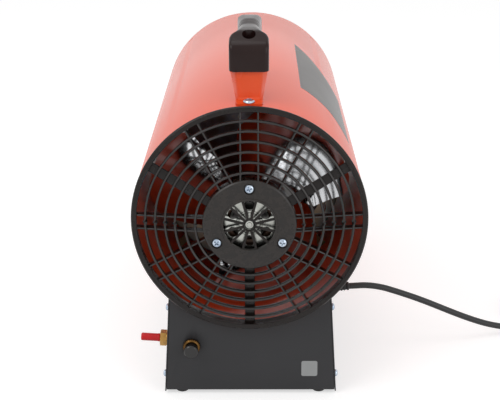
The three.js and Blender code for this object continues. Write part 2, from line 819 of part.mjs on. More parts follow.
function gasNozzle() {
  const shoulder = nozzleStart + nozzleShoulder;
  const tip = burnerStart + nozzlePast;
  return solid(turned([
    [0, nozzleStart], [nozzleRadius, nozzleStart], [nozzleRadius, shoulder], [nozzleNeck, shoulder],
    [nozzleNeck, tip - nozzleNeck / 2], [nozzleNeck / 2, tip], [jetRadius, tip],
    [jetRadius, shoulder], [0, shoulder],
  ], tinySides));
}

function gasPipe() {
  const [x, z] = [valveX, -valveDrop];
  const route = [
    [x, valveEnd + gap, z], [x, valveEnd + 4 * pipeRadius, z], [0.88 * x, pipeRiseY - 8 * pipeRadius, z],
    [0.35 * x, pipeRiseY - 2 * pipeRadius, z], [0.1 * x, pipeRiseY - gap, z + pipeRadius],
    [0, pipeRiseY, -drumRadius - 3 * pipeRadius], [0, pipeRiseY, -drumRadius + pipeRadius],
    [0, pipeRiseY, z / 2], [0, pipeRiseY, -8 * pipeRadius],
    [0, pipeRiseY + pipeRadius, -3 * pipeRadius], [0, nozzleStart - 2.4 * pipeRadius, -gap],
    [0, nozzleStart - pipeRadius, 0], [0, nozzleStart - gap, 0],
  ].map(point => new THREE.Vector3(...point));
  return solid(tubeAlong(route, pipeRadius, leadSides, leadSteps));
}

function sparkElectrode() {
  const start = strapStart - electrodeBack;
  const end = strapEnd + electrodeLength;
  const profile = [
    [0, start], [electrodeRadius, start], [electrodeRadius, end], [electrodeWire, end],
    [electrodeWire, end + electrodeTip], [0, end + electrodeTip],
  ];
  return solid(turned(profile, tinySides).translate(probeOffset, 0, 0));
}

function ignitionLead() {
  const start = strapStart - electrodeBack - gap;
  const end = new THREE.Vector3(-igniterInside - gap, 0, 0).applyMatrix4(sidePlace(1, igniterY, portHeight));
  const approach = new THREE.Vector3(-igniterInside - 3 * leadRadius, 0, 0).applyMatrix4(
    sidePlace(1, igniterY, portHeight),
  );
  const far = new THREE.Vector3(-igniterInside - 8 * leadRadius, 0, 0).applyMatrix4(
    sidePlace(1, igniterY, portHeight),
  );
  const route = [
    [probeOffset, start, 0], [probeOffset, start - 2 * leadRadius, 0],
    [probeOffset - leadRadius, pipeRiseY, -5 * leadRadius], [2.4 * leadHole, pipeRiseY, -0.55 * drumRadius],
    [leadHole, pipeRiseY, -drumInner + 2 * leadRadius], [leadHole, pipeRiseY, -drumRadius - 3 * leadRadius],
    [1.1 * leadHole, pipeRiseY + 8 * leadRadius, -drumRadius - 8 * leadRadius],
    [1.5 * leadHole, igniterY - 12 * leadRadius, -drumRadius - 9 * leadRadius],
  ].map(point => new THREE.Vector3(...point));
  return solid(tubeAlong([...route, far, approach, end], leadRadius, leadSides, leadSteps));
}

// The place on a side plate's outer face as a matrix whose X points out of the plate.
function sidePlace(side, y, height) {
  return sideMatrix(side).multiply(shift(0, side * y, height));
}

function thermocouple() {
  const wide = valveHalf - 3 * thermocoupleRadius;
  const [x, z] = [valveX - wide + thermocoupleRadius, -valveDrop + wide];
  const tip = strapEnd + thermocoupleTip;
  const route = [
    [-probeOffset, tip, 0], [-probeOffset, strapEnd, 0],
    [-probeOffset, strapStart - 2 * thermocoupleRadius, 0],
    [-probeOffset, pipeRiseY + 8 * thermocoupleRadius, -thermocoupleRadius / 4],
    [-probeOffset + thermocoupleRadius, pipeRiseY, -8 * thermocoupleRadius],
    [-2.4 * leadHole, pipeRiseY, -0.55 * drumRadius], [-leadHole, pipeRiseY, -drumInner + 2 * leadRadius],
    [-leadHole, pipeRiseY, -drumRadius - 2 * thermocoupleRadius],
    [-1.6 * leadHole, pipeRiseY - 6 * thermocoupleRadius, z],
    [0.8 * x, valveEnd + 12 * thermocoupleRadius, z],
    [x, valveEnd + 5 * thermocoupleRadius, z], [x, valveEnd + gap, z],
  ].map(point => new THREE.Vector3(...point));
  return solid(tubeAlong(route, thermocoupleRadius, leadSides, leadSteps));
}

function thermostat() {
  const top = -drumRadius - gap;
  return solid(bar('z', thermostatRadius, top - thermostatHeight, top, [0, thermostatY]));
}

// Handle
function handleGrip() {
  const rise = [
    [blockFace, blockBase], [blockFace, blockEdge - blockRound],
    [blockFace + blockRound / 2, blockEdge - blockRound / 3],
    [blockFace + slopeRun, blockTop], [handleMiddle - handleReach / 2, (blockTop + 2 * gripTop) / 3],
  ];
  const under = [
    [handleMiddle - handleReach / 3, gripBase],
    [blockFace + blockDepth + 4 * blockRound, gripBase - blockRound / 2],
    [blockFace + blockDepth + blockRound, gripBase - 2 * blockRound], [blockFace + blockDepth, blockBase],
  ];
  const mirrored = points => points.map(([y, z]) => [2 * handleMiddle - y, z]).reverse();
  const side = [...rise, [handleMiddle, gripTop], ...mirrored(rise), ...mirrored(under), ...under];
  const flank = half => [[half - 2 * blockRound, 0], [half, 2 * blockRound], ...shoulderShares.map(
    ([run, out]) => [gripHalf + out * (half - gripHalf), run * shoulderRun],
  )];
  const near = flank(blockHalf).map(([x, run]) => [x, blockFace + run]);
  const far = flank(farBlockHalf).map(([x, run]) => [x, 2 * handleMiddle - blockFace - run]);
  const right = [...near, ...far.reverse()];
  const outline = [...right, ...right.map(([x, y]) => [-x, y]).reverse()];
  const body = solid(plate('yz', side, -2 * blockHalf, 2 * blockHalf))
    .intersect(solid(plate('xy', outline, blockBase - overrun, gripTop + overrun)));
  const hole = gripScrewShank + gap;
  return cut(body, ...[1, -1].flatMap(way => [
    bar('z', gripRecessRadius, gripRecessFloor, gripTop + overrun, [0, gripScrewY(way)]),
    bar('z', hole, blockBase - overrun, gripRecessFloor + overrun, [0, gripScrewY(way)], tinySides),
  ]));
}

const gripScrewY = way => handleMiddle - way * (handleReach - gripScrewInset);

// A pressed bracket: a foot on the drum, a leg that widens upwards with its sides turned back, and a top.
function handleBracket(way) {
  const footEnd = legFace - footRun;
  const topRun = blockFace + blockDepth - gap;
  const halves = way > 0 ? [legFootHalf, legTopHalf] : [farLegHalf, farLegHalf];
  const slants = way > 0 ? [legFootSlant, legTopSlant] : [legFootSlant, legFootSlant];
  const [footHalf, topHalf] = halves;
  const leg = wedge(
    [legFace, legFace + legFlange], [bracketFoot, bracketTop],
    halves.map((half, i) => [half - slants[i], half]),
  );
  const hollow = wedge(
    [legFace + bracketSheet, legFace + legFlange + overrun],
    [bracketFoot - overrun, bracketTop - bracketSheet],
    halves.map((half, i) => {
      const slope = slants[i] / legFlange;
      const wall = bracketSheet * Math.sqrt(1 + slope ** 2);
      return [half - slants[i] + slope * bracketSheet - wall, half - wall + slope * overrun];
    }),
  );
  const round = footHalf / 4;
  const corner = footHalf - round;
  const foot = plate('xy', [
    [-corner, footEnd], [corner, footEnd], [footHalf, footEnd + round], [footHalf, legFace + bracketSheet],
    [-footHalf, legFace + bracketSheet], [-footHalf, footEnd + round],
  ], bracketFoot, bracketFoot + bracketSheet);
  const flangeHalf = topHalf - slants[1];
  const top = block([-flangeHalf, legFace, bracketTop - bracketSheet], [flangeHalf, topRun, bracketTop]);
  const screwY = footScrewY(1);
  const holes = [
    [footScrewShank + gap, bracketFoot - overrun, bracketFoot + bracketSheet + overrun, [0, screwY]],
    [gripScrewShank + gap, bracketTop - 2 * overrun, bracketTop + overrun, [0, gripScrewY(1)]],
  ].map(sizes => bar('z', ...sizes, tinySides));
  const body = cut(cut(solid(leg), hollow).add(solid(foot)).add(solid(top)), ...holes);
  if (way > 0) return body;
  const about = geometryOf(body).translate(0, -handleMiddle, 0).rotateZ(Math.PI);
  return solid(about.translate(0, handleMiddle, 0));
}

// Base: one bent sheet with a rear panel, a floor and a front panel, each panel with turned-in side flanges
const drumCutter = () => (
  bar('y', drumRadius + drumSeat, trayStart - overrun, trayEnd + overrun, [0, 0], fineSides)
);

function baseTray() {
  const lean = Math.tan(sideTilt);
  const halfTop = trayHalfBottom - (trayDrop - sheetTop) * lean;
  const halfFloor = trayHalfBottom - sheet / 2;
  const low = [[-trayHalfBottom, -trayDrop], [trayHalfBottom, -trayDrop]];
  const panel = [...low, [halfTop, -sheetTop], [-halfTop, -sheetTop]];
  const parts = [
    plate('xz', panel, trayStart, trayStart + sheet),
    plate('xz', panel, trayEnd - sheet, trayEnd),
    block([-halfFloor, trayStart, -trayDrop], [halfFloor, trayEnd, -trayDrop + sheet]),
  ];
  for (const side of [-1, 1]) {
    const strip = [
      [side * trayHalfBottom, -trayDrop], [side * halfTop, -sheetTop],
      [side * (halfTop - sheet), -sheetTop], [side * (trayHalfBottom - sheet), -trayDrop],
    ];
    parts.push(plate('xz', strip, trayStart, trayStart + flangeDepth));
    parts.push(plate('xz', strip, trayEnd - flangeDepth, trayEnd));
  }
  const feet = rubberPlaces().map(place => (
    bar('z', rubberNeck + gap, -trayDrop - overrun, -trayDrop + sheet + overrun, place, tinySides)
  ));
  const through = [trayStart - overrun, trayStart + sheet + overrun];
  const neck = bar('y', valveNeck + gap, ...through, [valveX, -valveDrop]);
  return cut(joined(...parts), drumCutter(), ...feet, neck, ...sideScrewHoles(1), ...sideScrewHoles(-1));
}

const rubberPlaces = () => [trayStart + rubberInset, trayEnd - rubberInset].flatMap(y => (
  [-1, 1].map(side => [side * rubberX, y])
));
const sideScrewPlaces = () => [trayStart + sideScrewInset, trayEnd - sideScrewInset].flatMap(y => (
  sideScrewHeights.map(height => [y, height])
));

function sideScrewHoles(side) {
  return sideScrewPlaces().map(([y, height]) => {
    const hole = bar('x', sideScrewShank + gap, -4 * overrun, 2 * overrun, [0, 0], tinySides);
    return placed(hole, sidePlace(side, y, height));
  });
}

// A side plate; ports are cuts in its own directions: out, along Y and up the plate.
function sidePlate(side, ports) {
  const edges = [side * trayStart, side * trayEnd].sort((a, b) => a - b);
  const wall = block([gap, edges[0], -sideDrop], [outside, edges[1], sideRise]);
  const body = cut(solid(placed(wall, sideMatrix(side))), drumCutter(), ...sideScrewHoles(side));
  return cut(body, ...ports.map(([geometry, y, height]) => placed(geometry, sidePlace(side, y, height))));
}

const port = radius => bar('x', radius + gap, -overrun, 2 * overrun);

function rubberFoot() {
  const seat = -trayDrop - gap;
  const inside = -trayDrop + sheet + gap;
  return solid(turned([
    [0, -axisHeight], [rubberRadius - rubberTaper, -axisHeight], [rubberRadius, seat], [rubberNeck, seat],
    [rubberNeck, inside], [rubberHead, inside], [rubberHead - rubberTaper, inside + rubberHeadHeight],
    [0, inside + rubberHeadHeight],
  ], tinySides).rotateX(Math.PI / 2));
}

// Gas valve, its button and the inlet
function valveBody() {
  const box = block(
    [valveX - valveHalf, valveStart, -valveDrop - valveHalf],
    [valveX + valveHalf, valveEnd, -valveDrop + valveHalf],
  );
  const neck = bar('y', valveNeck, trayStart, valveStart + overrun, [valveX, -valveDrop]);
  const bore = bar('y', valveBore, trayStart - overrun, trayStart + valveBoreDepth, [valveX, -valveDrop]);
  return cut(joined(box, neck), bore);
}

function valveCollar() {
  return solid(turned([
    [valveBore, nutStart], [nutRadius - nutRound, nutStart], [nutRadius, nutStart + nutRound],
    [nutRadius, nutEnd],
    [valveBore, nutEnd],
  ], smallSides).translate(valveX, 0, -valveDrop));
}

function valveButton() {
  const face = trayStart - buttonReach;
  const capEnd = face + buttonCap;
  const end = trayStart + buttonInside;
  return solid(turned([
    [0, face], [buttonRadius - buttonRound, face], [buttonRadius, face + buttonRound],
    [buttonRadius, capEnd],
    [buttonStem, capEnd], [buttonStem, end], [0, end],
  ], smallSides).translate(valveX, 0, -valveDrop));
}

// Pieces on the side plates are turned shapes whose Y axis points out of the plate
function gasInlet() {
  const hexStart = onSide + washerThick;
  const hexEnd = hexStart + hexLength;
  const rod = (radius, from, to) => [[0, from], [radius, from], [radius, to], [0, to]];
  const washer = turned(rod(washerRadius, onSide, hexStart), smallSides);
  const hex = turned(rod(hexRadius, hexStart - gap, hexEnd), 6);
  const neck = turned(rod(inletNeck, -inletNeckLength, onSide + gap), smallSides);
  const spigot = turned(rod(spigotRadius, hexEnd - gap, hexEnd + spigotLength), tinySides);
  return joined(washer, hex, neck, spigot);
}

function inletCap() {
  const start = onSide + washerThick + hexLength + gap;
  const end = start + capLength;
  const bore = spigotRadius + gap;
  return solid(turned([
    [bore, start], [capOuter, start], [capOuter, end], [0, end], [0, start + capBoreDepth],
    [bore, start + capBoreDepth],
  ], smallSides));
}

function igniterBody() {
  const face = onSide + bezelThick;
  const floor = onSide - igniterBoreDepth;
  return solid(turned([
    [0, -igniterInside], [igniterBarrel, -igniterInside], [igniterBarrel, onSide], [igniterFlange, onSide],
    [igniterFlange, face], [igniterBore, face], [igniterBore, floor], [0, floor],
  ], smallSides));
}

function igniterButtonBody() {
  const end = onSide + igniterProud;
  return solid(turned([
    [0, onSide - igniterButtonInside], [igniterButton, onSide - igniterButtonInside],
    [igniterButton, end - igniterButton / 3], [igniterButton * 0.7, end], [0, end],
  ], smallSides));
}

// The switch, in the plate's own directions: X out, Y along the plate and Z up it
function switchHousing() {
  const face = onSide + bezelThick;
  const bezel = block([onSide, -bezelHalfWidth, -bezelHalfHeight], [face, bezelHalfWidth, bezelHalfHeight]);
  const body = block(
    [-switchInside, -switchHalfWidth, -switchHalfHeight],
    [onSide + gap, switchHalfWidth, switchHalfHeight],
  );
  const cavity = block(
    [face - cavityDepth, -cavityHalfWidth, -cavityHalfHeight],
    [face + overrun, cavityHalfWidth, cavityHalfHeight],
  );
  return cut(joined(bezel, body), cavity);
}

// The rocker about its own pivot, tipped to its off side.
function switchRocker() {
  const proud = rockerPivotDepth + rockerProud;
  const outline = [
    [proud - rockerDepth, -rockerRoot], [proud - rockerEndThick, -rockerHalfHeight],
    [proud, -rockerHalfHeight],
    [proud - rockerDip, 0], [proud, rockerHalfHeight], [proud - rockerEndThick, rockerHalfHeight],
    [proud - rockerDepth, rockerRoot],
  ];
  const half = cavityHalfWidth - gap;
  return solid(plate('xz', outline, -half, half).rotateY(radians(rockerTilt)));
}

function strainRelief() {
  const root = onSide + reliefFlangeThick;
  return solid(turned([
    [0, -reliefInside], [reliefNeck, -reliefInside], [reliefNeck, onSide], [reliefFlange, onSide],
    [reliefFlange, root], [reliefRoot, root], [reliefTip, root + reliefLength], [0, root + reliefLength],
  ], smallSides));
}

// Cord: from the strain relief to the floor, a coil beside the heater, and the plug
const floorZ = -axisHeight;
const cordLie = floorZ + cordRadius + tieThick + gap; // of the centre of a cord that lies on the floor
const cordExit = new THREE.Vector3(onSide + reliefFlangeThick + reliefLength + gap, 0, 0)
  .applyMatrix4(sidePlace(1, reliefY, portHeight));

function cordRoute() {
  const foot = new THREE.Vector3(coilX - cordLanding, coilY - coilOuter, cordLie);
  const fall = cordFallShares.map(([across, along, up]) => new THREE.Vector3(
    THREE.MathUtils.lerp(cordExit.x, foot.x, across),
    THREE.MathUtils.lerp(cordExit.y, foot.y, along),
    THREE.MathUtils.lerp(foot.z, cordExit.z, up),
  ));
  const ends = [4 * cordRadius + gap, 2 * cordRadius + gap].map(back => (
    new THREE.Vector3(coilX - back, coilY - coilOuter, cordLie)
  ));
  return [cordExit, ...fall, ...ends];
}

function cordStretch() {
  const route = cordRoute();
  const length = new THREE.CatmullRomCurve3(route, false, 'centripetal').getLength();
  console.log(`cord from its exit to the coil: ${length.toFixed(1)} mm`);
  return solid(tubeAlong(route, cordRadius, cordSides, Math.ceil(length / (cordStep * 2 * cordRadius))));
}

// Points of the coil's centreline: a layer that winds in, a half turn that climbs, a layer that winds out,
// and a tail that comes down to the floor and up into the plug.
function coilLine() {
  const points = [];
  const place = (turns, radius, height) => {
    const angle = radians(coilStart) + 2 * Math.PI * turns;
    const [x, y] = [coilX + radius * Math.cos(angle), coilY + radius * Math.sin(angle)];
    points.push(new THREE.Vector3(x, y, height));
  };
  const inner = coilOuter - coilPitch * coilTurns;
  const steps = Math.round(coilTurns * coilSteps);
  const climb = coilSteps / 2;
  for (let i = 0; i <= steps; i += 1) place(i / coilSteps, coilOuter - (coilPitch * i) / coilSteps, cordLie);
  for (let i = 1; i < climb; i += 1) {
    const share = i / climb;
    const dip = (coilPitch / 4) * 4 * share * (1 - share);
    place(coilTurns + i / coilSteps, inner - dip / 2, cordLie + coilLayer * share * share * (3 - 2 * share));
  }
  for (let i = 0; i <= steps; i += 1) {
    const turns = coilTurns + 0.5 + i / coilSteps;
    place(turns, inner + (coilPitch * i) / coilSteps, cordLie + coilLayer);
  }
  return points;
}
const plugTilt = Math.atan2(plugRadius - plugNeck, plugLength);
const plugStart = () => {
  const last = coilLine().at(-1);
  return new THREE.Vector3(last.x, last.y + tailRun, floorZ + plugNeck * Math.cos(plugTilt));
};
const plugWay = new THREE.Vector3(0, Math.cos(plugTilt), Math.sin(plugTilt));

function coilTail() {
  const last = coilLine().at(-1);
  const start = plugStart();
  const low = floorZ + cordRadius;
  const drop = last.z - low;
  const shares = [[0.1, 1], [0.2, 0.95], [0.32, 0.78], [0.45, 0.48], [0.58, 0.18], [0.7, 0.02], [0.79, 0]];
  const fall = shares.map(([run, up]) => new THREE.Vector3(last.x, last.y + run * tailRun, low + up * drop));
  const ends = [2 * cordRadius, gap].map(back => start.clone().addScaledVector(plugWay, -back));
  return [...fall, ...ends];
}

// The smallest distance between the tube's surface and itself, over points more than half a turn apart.
function leastGap(points) {
  let least = Infinity;
  for (let i = 0; i < points.length; i += 1) {
    for (let j = i + coilSteps / 2; j < points.length; j += 1) {
      const step = new THREE.Line3(points[j - 1], points[j]);
      const near = step.closestPointToPoint(points[i], true, new THREE.Vector3());
      least = Math.min(least, near.distanceTo(points[i]) - 2 * cordRadius);
    }
  }
  return least;
}

// A tube through points, one ring of corners at each, with its ends square to the first and last steps.
function tubeThrough(points, radius, sides) {
  const corners = [];
  const faces = [];
  const up = new THREE.Vector3(0, 0, 1);
  points.forEach((point, i) => {
    const before = points[Math.max(0, i - 1)];
    const after = points[Math.min(points.length - 1, i + 1)];
    const way = after.clone().sub(before).normalize();
    const across = way.clone().cross(up).normalize();
    const over = across.clone().cross(way);
    for (let k = 0; k < sides; k += 1) {
      const angle = (2 * Math.PI * (k + 0.5)) / sides;
      const corner = point.clone().addScaledVector(across, radius * Math.cos(angle));
      corners.push(...corner.addScaledVector(over, radius * Math.sin(angle)).toArray());
    }
  });
  for (let i = 0; i + 1 < points.length; i += 1) {
    for (let k = 0; k < sides; k += 1) {
      const [a, b] = [i * sides + k, i * sides + ((k + 1) % sides)];
      faces.push(a, a + sides, b, b, a + sides, b + sides);
    }
  }
  const last = (points.length - 1) * sides;
  for (let k = 1; k + 1 < sides; k += 1) faces.push(0, k, k + 1, last, last + k + 1, last + k);
  const geometry = new THREE.BufferGeometry();
  geometry.setAttribute('position', new THREE.Float32BufferAttribute(corners, 3));
  geometry.setIndex(faces);
  return geometry;
}

function cordCoil() {
  const winding = coilLine();
  const entry = winding[0].clone().add(new THREE.Vector3(-2 * cordRadius, 0, 0));
  const whole = [entry, ...winding, ...coilTail()];
  let length = 0;
  for (let i = 1; i < whole.length; i += 1) length += whole[i].distanceTo(whole[i - 1]);
  console.log(`coil and tail: ${length.toFixed(1)} mm of cord`);
  console.log(`least gap of the coil to itself: ${leastGap(whole).toFixed(2)} mm`);
  return solid(tubeThrough(whole, cordRadius, coilSides));
}

function coilTie() {
  const inner = coilOuter - coilPitch * coilTurns - coilPitch / 2 - cordRadius - gap;
  const outer = coilOuter + cordRadius + gap;
  const [low, high] = [floorZ + tieThick, cordLie + coilLayer + cordRadius + gap];
  const inside = [[inner, low], [outer, low], [outer, high], [inner, high]];
  const strap = plate('xz', inside, -tieWidth / 2, tieWidth / 2);
  const skin = plate('xz', [
    [inner - tieThick, floorZ], [outer + tieThick, floorZ], [outer + tieThick, high + tieThick],
    [inner - tieThick, high + tieThick],
  ], -tieWidth / 2, tieWidth / 2);
  strap.scale(1, 2, 1);
  const turn = shift(coilX, coilY, 0)
    .multiply(turnZ(radians(tieTurn)));
  return cut(solid(placed(skin, turn)), placed(strap, turn));
}

function plug() {
  const outline = plugOutlineShares.map(([along, out]) => [out * plugRadius, along * plugLength]);
  const neck = [[0, 0], [plugNeck, 0], [plugNeck, plugNeckLength]];
  const body = turned([...neck, ...outline, [0, plugLength]], smallSides);
  const pins = [-1, 1].map(side => (
    bar('y', pinRadius, plugLength - overrun, plugLength + pinLength, [side * pinSpread, 0], tinySides)
  ));
  const turn = shift(...plugStart()).multiply(turnX(plugTilt));
  return joined(placed(body, turn), ...pins.map(pin => placed(pin, turn)));
}

// The drum and the guard
add('drum_shell', drumShell(), orangePaint());
add('fan_guard', fanGuard(), blackPlastic());

// The motor and the fan
const screwStart = recessDepth - discProud - gap;
['top', 'left', 'right'].forEach((where, i) => {
  const [x, z] = motorScrewPlaces()[i];
  const body = screw(motorScrewHead, motorScrewHeight, motorScrewShank, motorScrewLength);
  add(`motor_screw_${where}`, body, zinc(), shift(x, screwStart, z));
});
add('motor_end_shield', motorShield(), brightSteel());
add('motor_can', motorCan(), brightSteel());
add('motor_stator', motorStator(), brightSteel());
add('motor_windings', motorWindings(), copper());
add('motor_rotor', motorRotor(), aluminium());
const shaft = bar('y', shaftRadius, shaftStart(), fanEnd + shaftPastFan, [0, 0], tinySides);
add('motor_shaft', solid(shaft), zinc());
add('bearing_rear', bush(cupRadius - cupWall - gap, shaftStart(), shieldEnd), brass());
add('bearing_front', bush(noseRadius - noseWall - gap, canEnd - canWall, noseEnd - noseWall - gap), brass());
add('fan', fan(), aluminium());

// The burner and its supply
add('combustion_tube', combustionTube(), brightSteel());
add('burner_cup', burnerCup(), brightSteel());
add('burner_strap', burnerStrap(), zinc());
add('gas_nozzle', gasNozzle(), brass());
add('gas_pipe', gasPipe(), copper());
add('spark_electrode', sparkElectrode(), ceramic());
add('ignition_lead', ignitionLead(), rubber());
add('thermocouple', thermocouple(), copper());
add('overheat_thermostat', thermostat(), glossBlack());

// The handle
add('handle_grip', handleGrip(), glossBlack());
for (const [where, way] of [['rear', 1], ['front', -1]]) {
  add(`handle_bracket_${where}`, handleBracket(way), orangePaint());
  const upright = turnX(-Math.PI / 2);
  const footPlace = shift(0, footScrewY(way), bracketFoot + bracketSheet + gap);
  const footScrew = screw(footScrewHead, footScrewHeight, footScrewShank, footScrewLength);
  add(`bracket_screw_${where}`, footScrew, zinc(), footPlace.multiply(upright));
  const gripPlace = shift(0, gripScrewY(way), gripRecessFloor + gap);
  const reach = gripRecessFloor + gap - bracketTop + 3 * bracketSheet;
  const gripScrew = screw(gripScrewHead, gripScrewHeight, gripScrewShank, reach);
  add(`grip_screw_${where}`, gripScrew, zinc(), gripPlace.multiply(upright));
}

// The base
add('base_tray', baseTray(), darkPaint());
add('base_side_left', sidePlate(-1, [[port(inletNeck), trayStart + inletInset, inletHeight]]), darkPaint());
const switchPort = block(
  [-overrun, -switchHalfWidth - gap, -switchHalfHeight - gap],
  [2 * overrun, switchHalfWidth + gap, switchHalfHeight + gap],
);
add('base_side_right', sidePlate(1, [
  [port(reliefNeck), reliefY, portHeight],
  [port(igniterBarrel), igniterY, portHeight],
  [switchPort, switchY, portHeight],
]), darkPaint());
for (const [where, side] of [['left', -1], ['right', 1]]) {
  sideScrewPlaces().forEach(([y, height], i) => {
    const outward = shift(onSide, 0, 0).multiply(turnZ(Math.PI / 2));
    const body = screw(sideScrewHead, sideScrewHeight, sideScrewShank, sideScrewLength);
    add(`side_screw_${where}_${i + 1}`, body, zinc(), sidePlace(side, y, height).multiply(outward));
  });
}
rubberPlaces().forEach(([x, y], i) => {
  add(`rubber_foot_${i + 1}`, rubberFoot(), rubber(), shift(x, y, 0));
});

// The gas valve and what sits on the side plates
add('gas_valve', valveBody(), brass());
add('valve_collar', valveCollar(), brass());
add('valve_button', valveButton(), glossBlack());
add('gas_inlet', gasInlet(), brass(), onPlate(-1, trayStart + inletInset, inletHeight));
add('inlet_cap', inletCap(), redPlastic(), onPlate(-1, trayStart + inletInset, inletHeight));
add('igniter_body', igniterBody(), glossBlack(), onPlate(1, igniterY, portHeight));
add('igniter_button', igniterButtonBody(), redPlastic(), onPlate(1, igniterY, portHeight));
add('switch_housing', switchHousing(), glossBlack(), sidePlace(1, switchY, portHeight));
const pivot = shift(onSide + bezelThick - rockerPivotDepth, 0, 0);
add('switch_rocker', switchRocker(), glossBlack(), sidePlace(1, switchY, portHeight).multiply(pivot));
add('strain_relief', strainRelief(), rubber(), onPlate(1, reliefY, portHeight));

// The cord
add('power_cord', cordStretch(), rubber());
add('cord_coil', cordCoil(), rubber());
add('coil_tie', coilTie(), blackPlastic());
add('plug', plug(), rubber());

heater.position.set(0, -middleY, axisHeight);

export default new THREE.Group().add(heater);
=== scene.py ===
"""The looks of a gas-fired space heater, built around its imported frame.

Shapes are made in millimetres about the drum's axis: X to the right, Y along the drum from the guard's rim
to the hot end, Z up. A finished piece is in metres in the frame's own place.
"""

import logging
import math
from collections.abc import Iterable, Sequence
from dataclasses import dataclass, field
from enum import Enum
from functools import cache

import bmesh
import bpy
from bpy.types import ID, Material, Mesh, Node, NodeSocket, NodeTree, Object
from mathutils import Matrix, Vector


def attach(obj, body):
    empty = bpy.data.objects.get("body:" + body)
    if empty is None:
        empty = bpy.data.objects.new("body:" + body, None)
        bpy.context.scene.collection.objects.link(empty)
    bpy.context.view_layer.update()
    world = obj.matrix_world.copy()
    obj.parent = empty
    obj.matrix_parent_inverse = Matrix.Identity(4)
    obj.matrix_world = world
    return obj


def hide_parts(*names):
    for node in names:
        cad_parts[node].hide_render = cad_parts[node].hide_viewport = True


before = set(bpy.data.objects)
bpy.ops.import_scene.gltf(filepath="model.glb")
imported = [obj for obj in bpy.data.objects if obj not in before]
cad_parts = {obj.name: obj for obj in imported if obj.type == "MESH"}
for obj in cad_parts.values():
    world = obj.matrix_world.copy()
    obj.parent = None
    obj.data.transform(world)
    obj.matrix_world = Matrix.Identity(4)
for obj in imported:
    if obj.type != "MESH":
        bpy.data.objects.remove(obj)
log = logging.getLogger("heater")

MM = 0.001
MIDDLE_Y = 230.7  # of the frame's origin from the guard's rim
AXIS_HEIGHT = 185.5  # of the drum's axis above the floor
GAP = 0.3  # between pieces that touch

WELD = 2e-7  # metres within which two corners of a new mesh are one
FRAME_WELD = 2e-6  # the same for the loose triangles of a node
NO_EDGE = 1e-7  # metres under which an edge is nothing
FLAT = 0.02  # radians by which the triangles of one flat face may differ
STRAIGHT = math.radians(176)  # a wider corner of an outline isn't rounded
EDGE_SHARE = 0.49  # the most of an edge that the rounding of one corner takes
SHARP = 32.0  # degrees; an edge that turns by more stays sharp
ON_AXIS = 1e-6  # a smaller radius is on the axis
FINE_STEP = 0.5  # between a curve's points before they are made even

DRUM_RADIUS = 109.4
DRUM_START = 2.9
DRUM_END = 472.0
TRAY_START = 12.0
TRAY_END = 262.0
TRAY_HALF = 82.75
TRAY_DROP = 181.2
SIDE_TILT = math.atan2(5.75, 93.7)
ON_SIDE = 1.8  # where a piece on a side plate starts, out from the tray's edge
PORTS_Y = 118.0  # of the ports in the drum's bottom
TAB_TURNS = (45, 135, 225, 315)  # degrees from the drum's top
VALVE_X = -57.0
VALVE_Z = -133.6

Pair = tuple[float, float]
Triple = tuple[float, float, float]
Colour = tuple[float, float, float, float]


class Body(Enum):
    """The moving bodies of the frame."""

    HEATER = "heater"
    FAN = "fan_assembly"
    BUTTON = "button"
    IGNITER = "igniter"
    ROCKER = "rocker"
    CAP = "cap"


class Slot(Enum):
    """The record's material slots."""

    ORANGE = "orange_paint"
    DARK = "dark_paint"
    PLASTIC = "black_plastic"
    GLOSS = "gloss_black"
    RED = "red_plastic"
    CERAMIC = "ceramic"
    STEEL = "bright_steel"
    ZINC = "zinc"
    ALUMINIUM = "aluminium"
    BRASS = "brass"
    COPPER = "copper"
    RUBBER = "black_rubber"


class Plane(Enum):
    """The plane that a flat outline lies in, and the axis that gives it thickness."""

    XZ = (0, 2, 1)
    XY = (0, 1, 2)
    YZ = (1, 2, 0)


def to_row(point: Sequence[float]) -> Vector:
    """A point about the drum's axis, in the frame's metres."""
    return Vector((point[0], point[1] - MIDDLE_Y, point[2] + AXIS_HEIGHT)) * MM


def linear(red: float, green: float, blue: float) -> Colour:
    """A colour written from 0 to 255 as the shader wants it.

    Args:
        red: the red channel, from 0 to 255.
        green: the green channel.
        blue: the blue channel.

    Returns:
        The linear colour, with full alpha.
    """

    def one(value: float) -> float:
        """One channel, made linear."""
        share = value / 255
        return share / 12.92 if share <= 0.04045 else ((share + 0.055) / 1.055) ** 2.4

    return one(red), one(green), one(blue), 1.0


def side_place(side: int, along: float, height: float) -> Matrix:
    """The place on a leaning side plate's line.

    Args:
        side: -1 for the left plate and 1 for the right one.
        along: distance along the drum.
        height: distance up the plate.

    Returns:
        A matrix whose X points out of the plate and whose Z climbs it.
    """
    cos, sin = math.cos(SIDE_TILT), math.sin(SIDE_TILT)
    out = Vector((side * cos, 0, sin))
    up = Vector((-side * sin, 0, cos))
    matrix = Matrix((out, (0, side, 0), up)).transposed().to_4x4()
    matrix.translation = Vector((side * TRAY_HALF, along, -TRAY_DROP)) + up * height
    return matrix


def on_plate(side: int, along: float, height: float) -> Matrix:
    """The same place for a turned shape, whose Y then points out of the plate."""
    return side_place(side, along, height) @ Matrix.Rotation(-math.pi / 2, 4, "Z")


# Shapes
def oblong(left: float, low: float, right: float, high: float) -> list[Pair]:
    """The four corners of an upright rectangle."""
    return [(left, low), (right, low), (right, high), (left, high)]


def around(radius: float, count: int, first: float = 0.0) -> list[Pair]:
    """Points evenly round a circle; the first is turned by a share of the step between them."""
    turns = (2 * math.pi * (i + first) / count for i in range(count))
    return [(radius * math.cos(turn), radius * math.sin(turn)) for turn in turns]


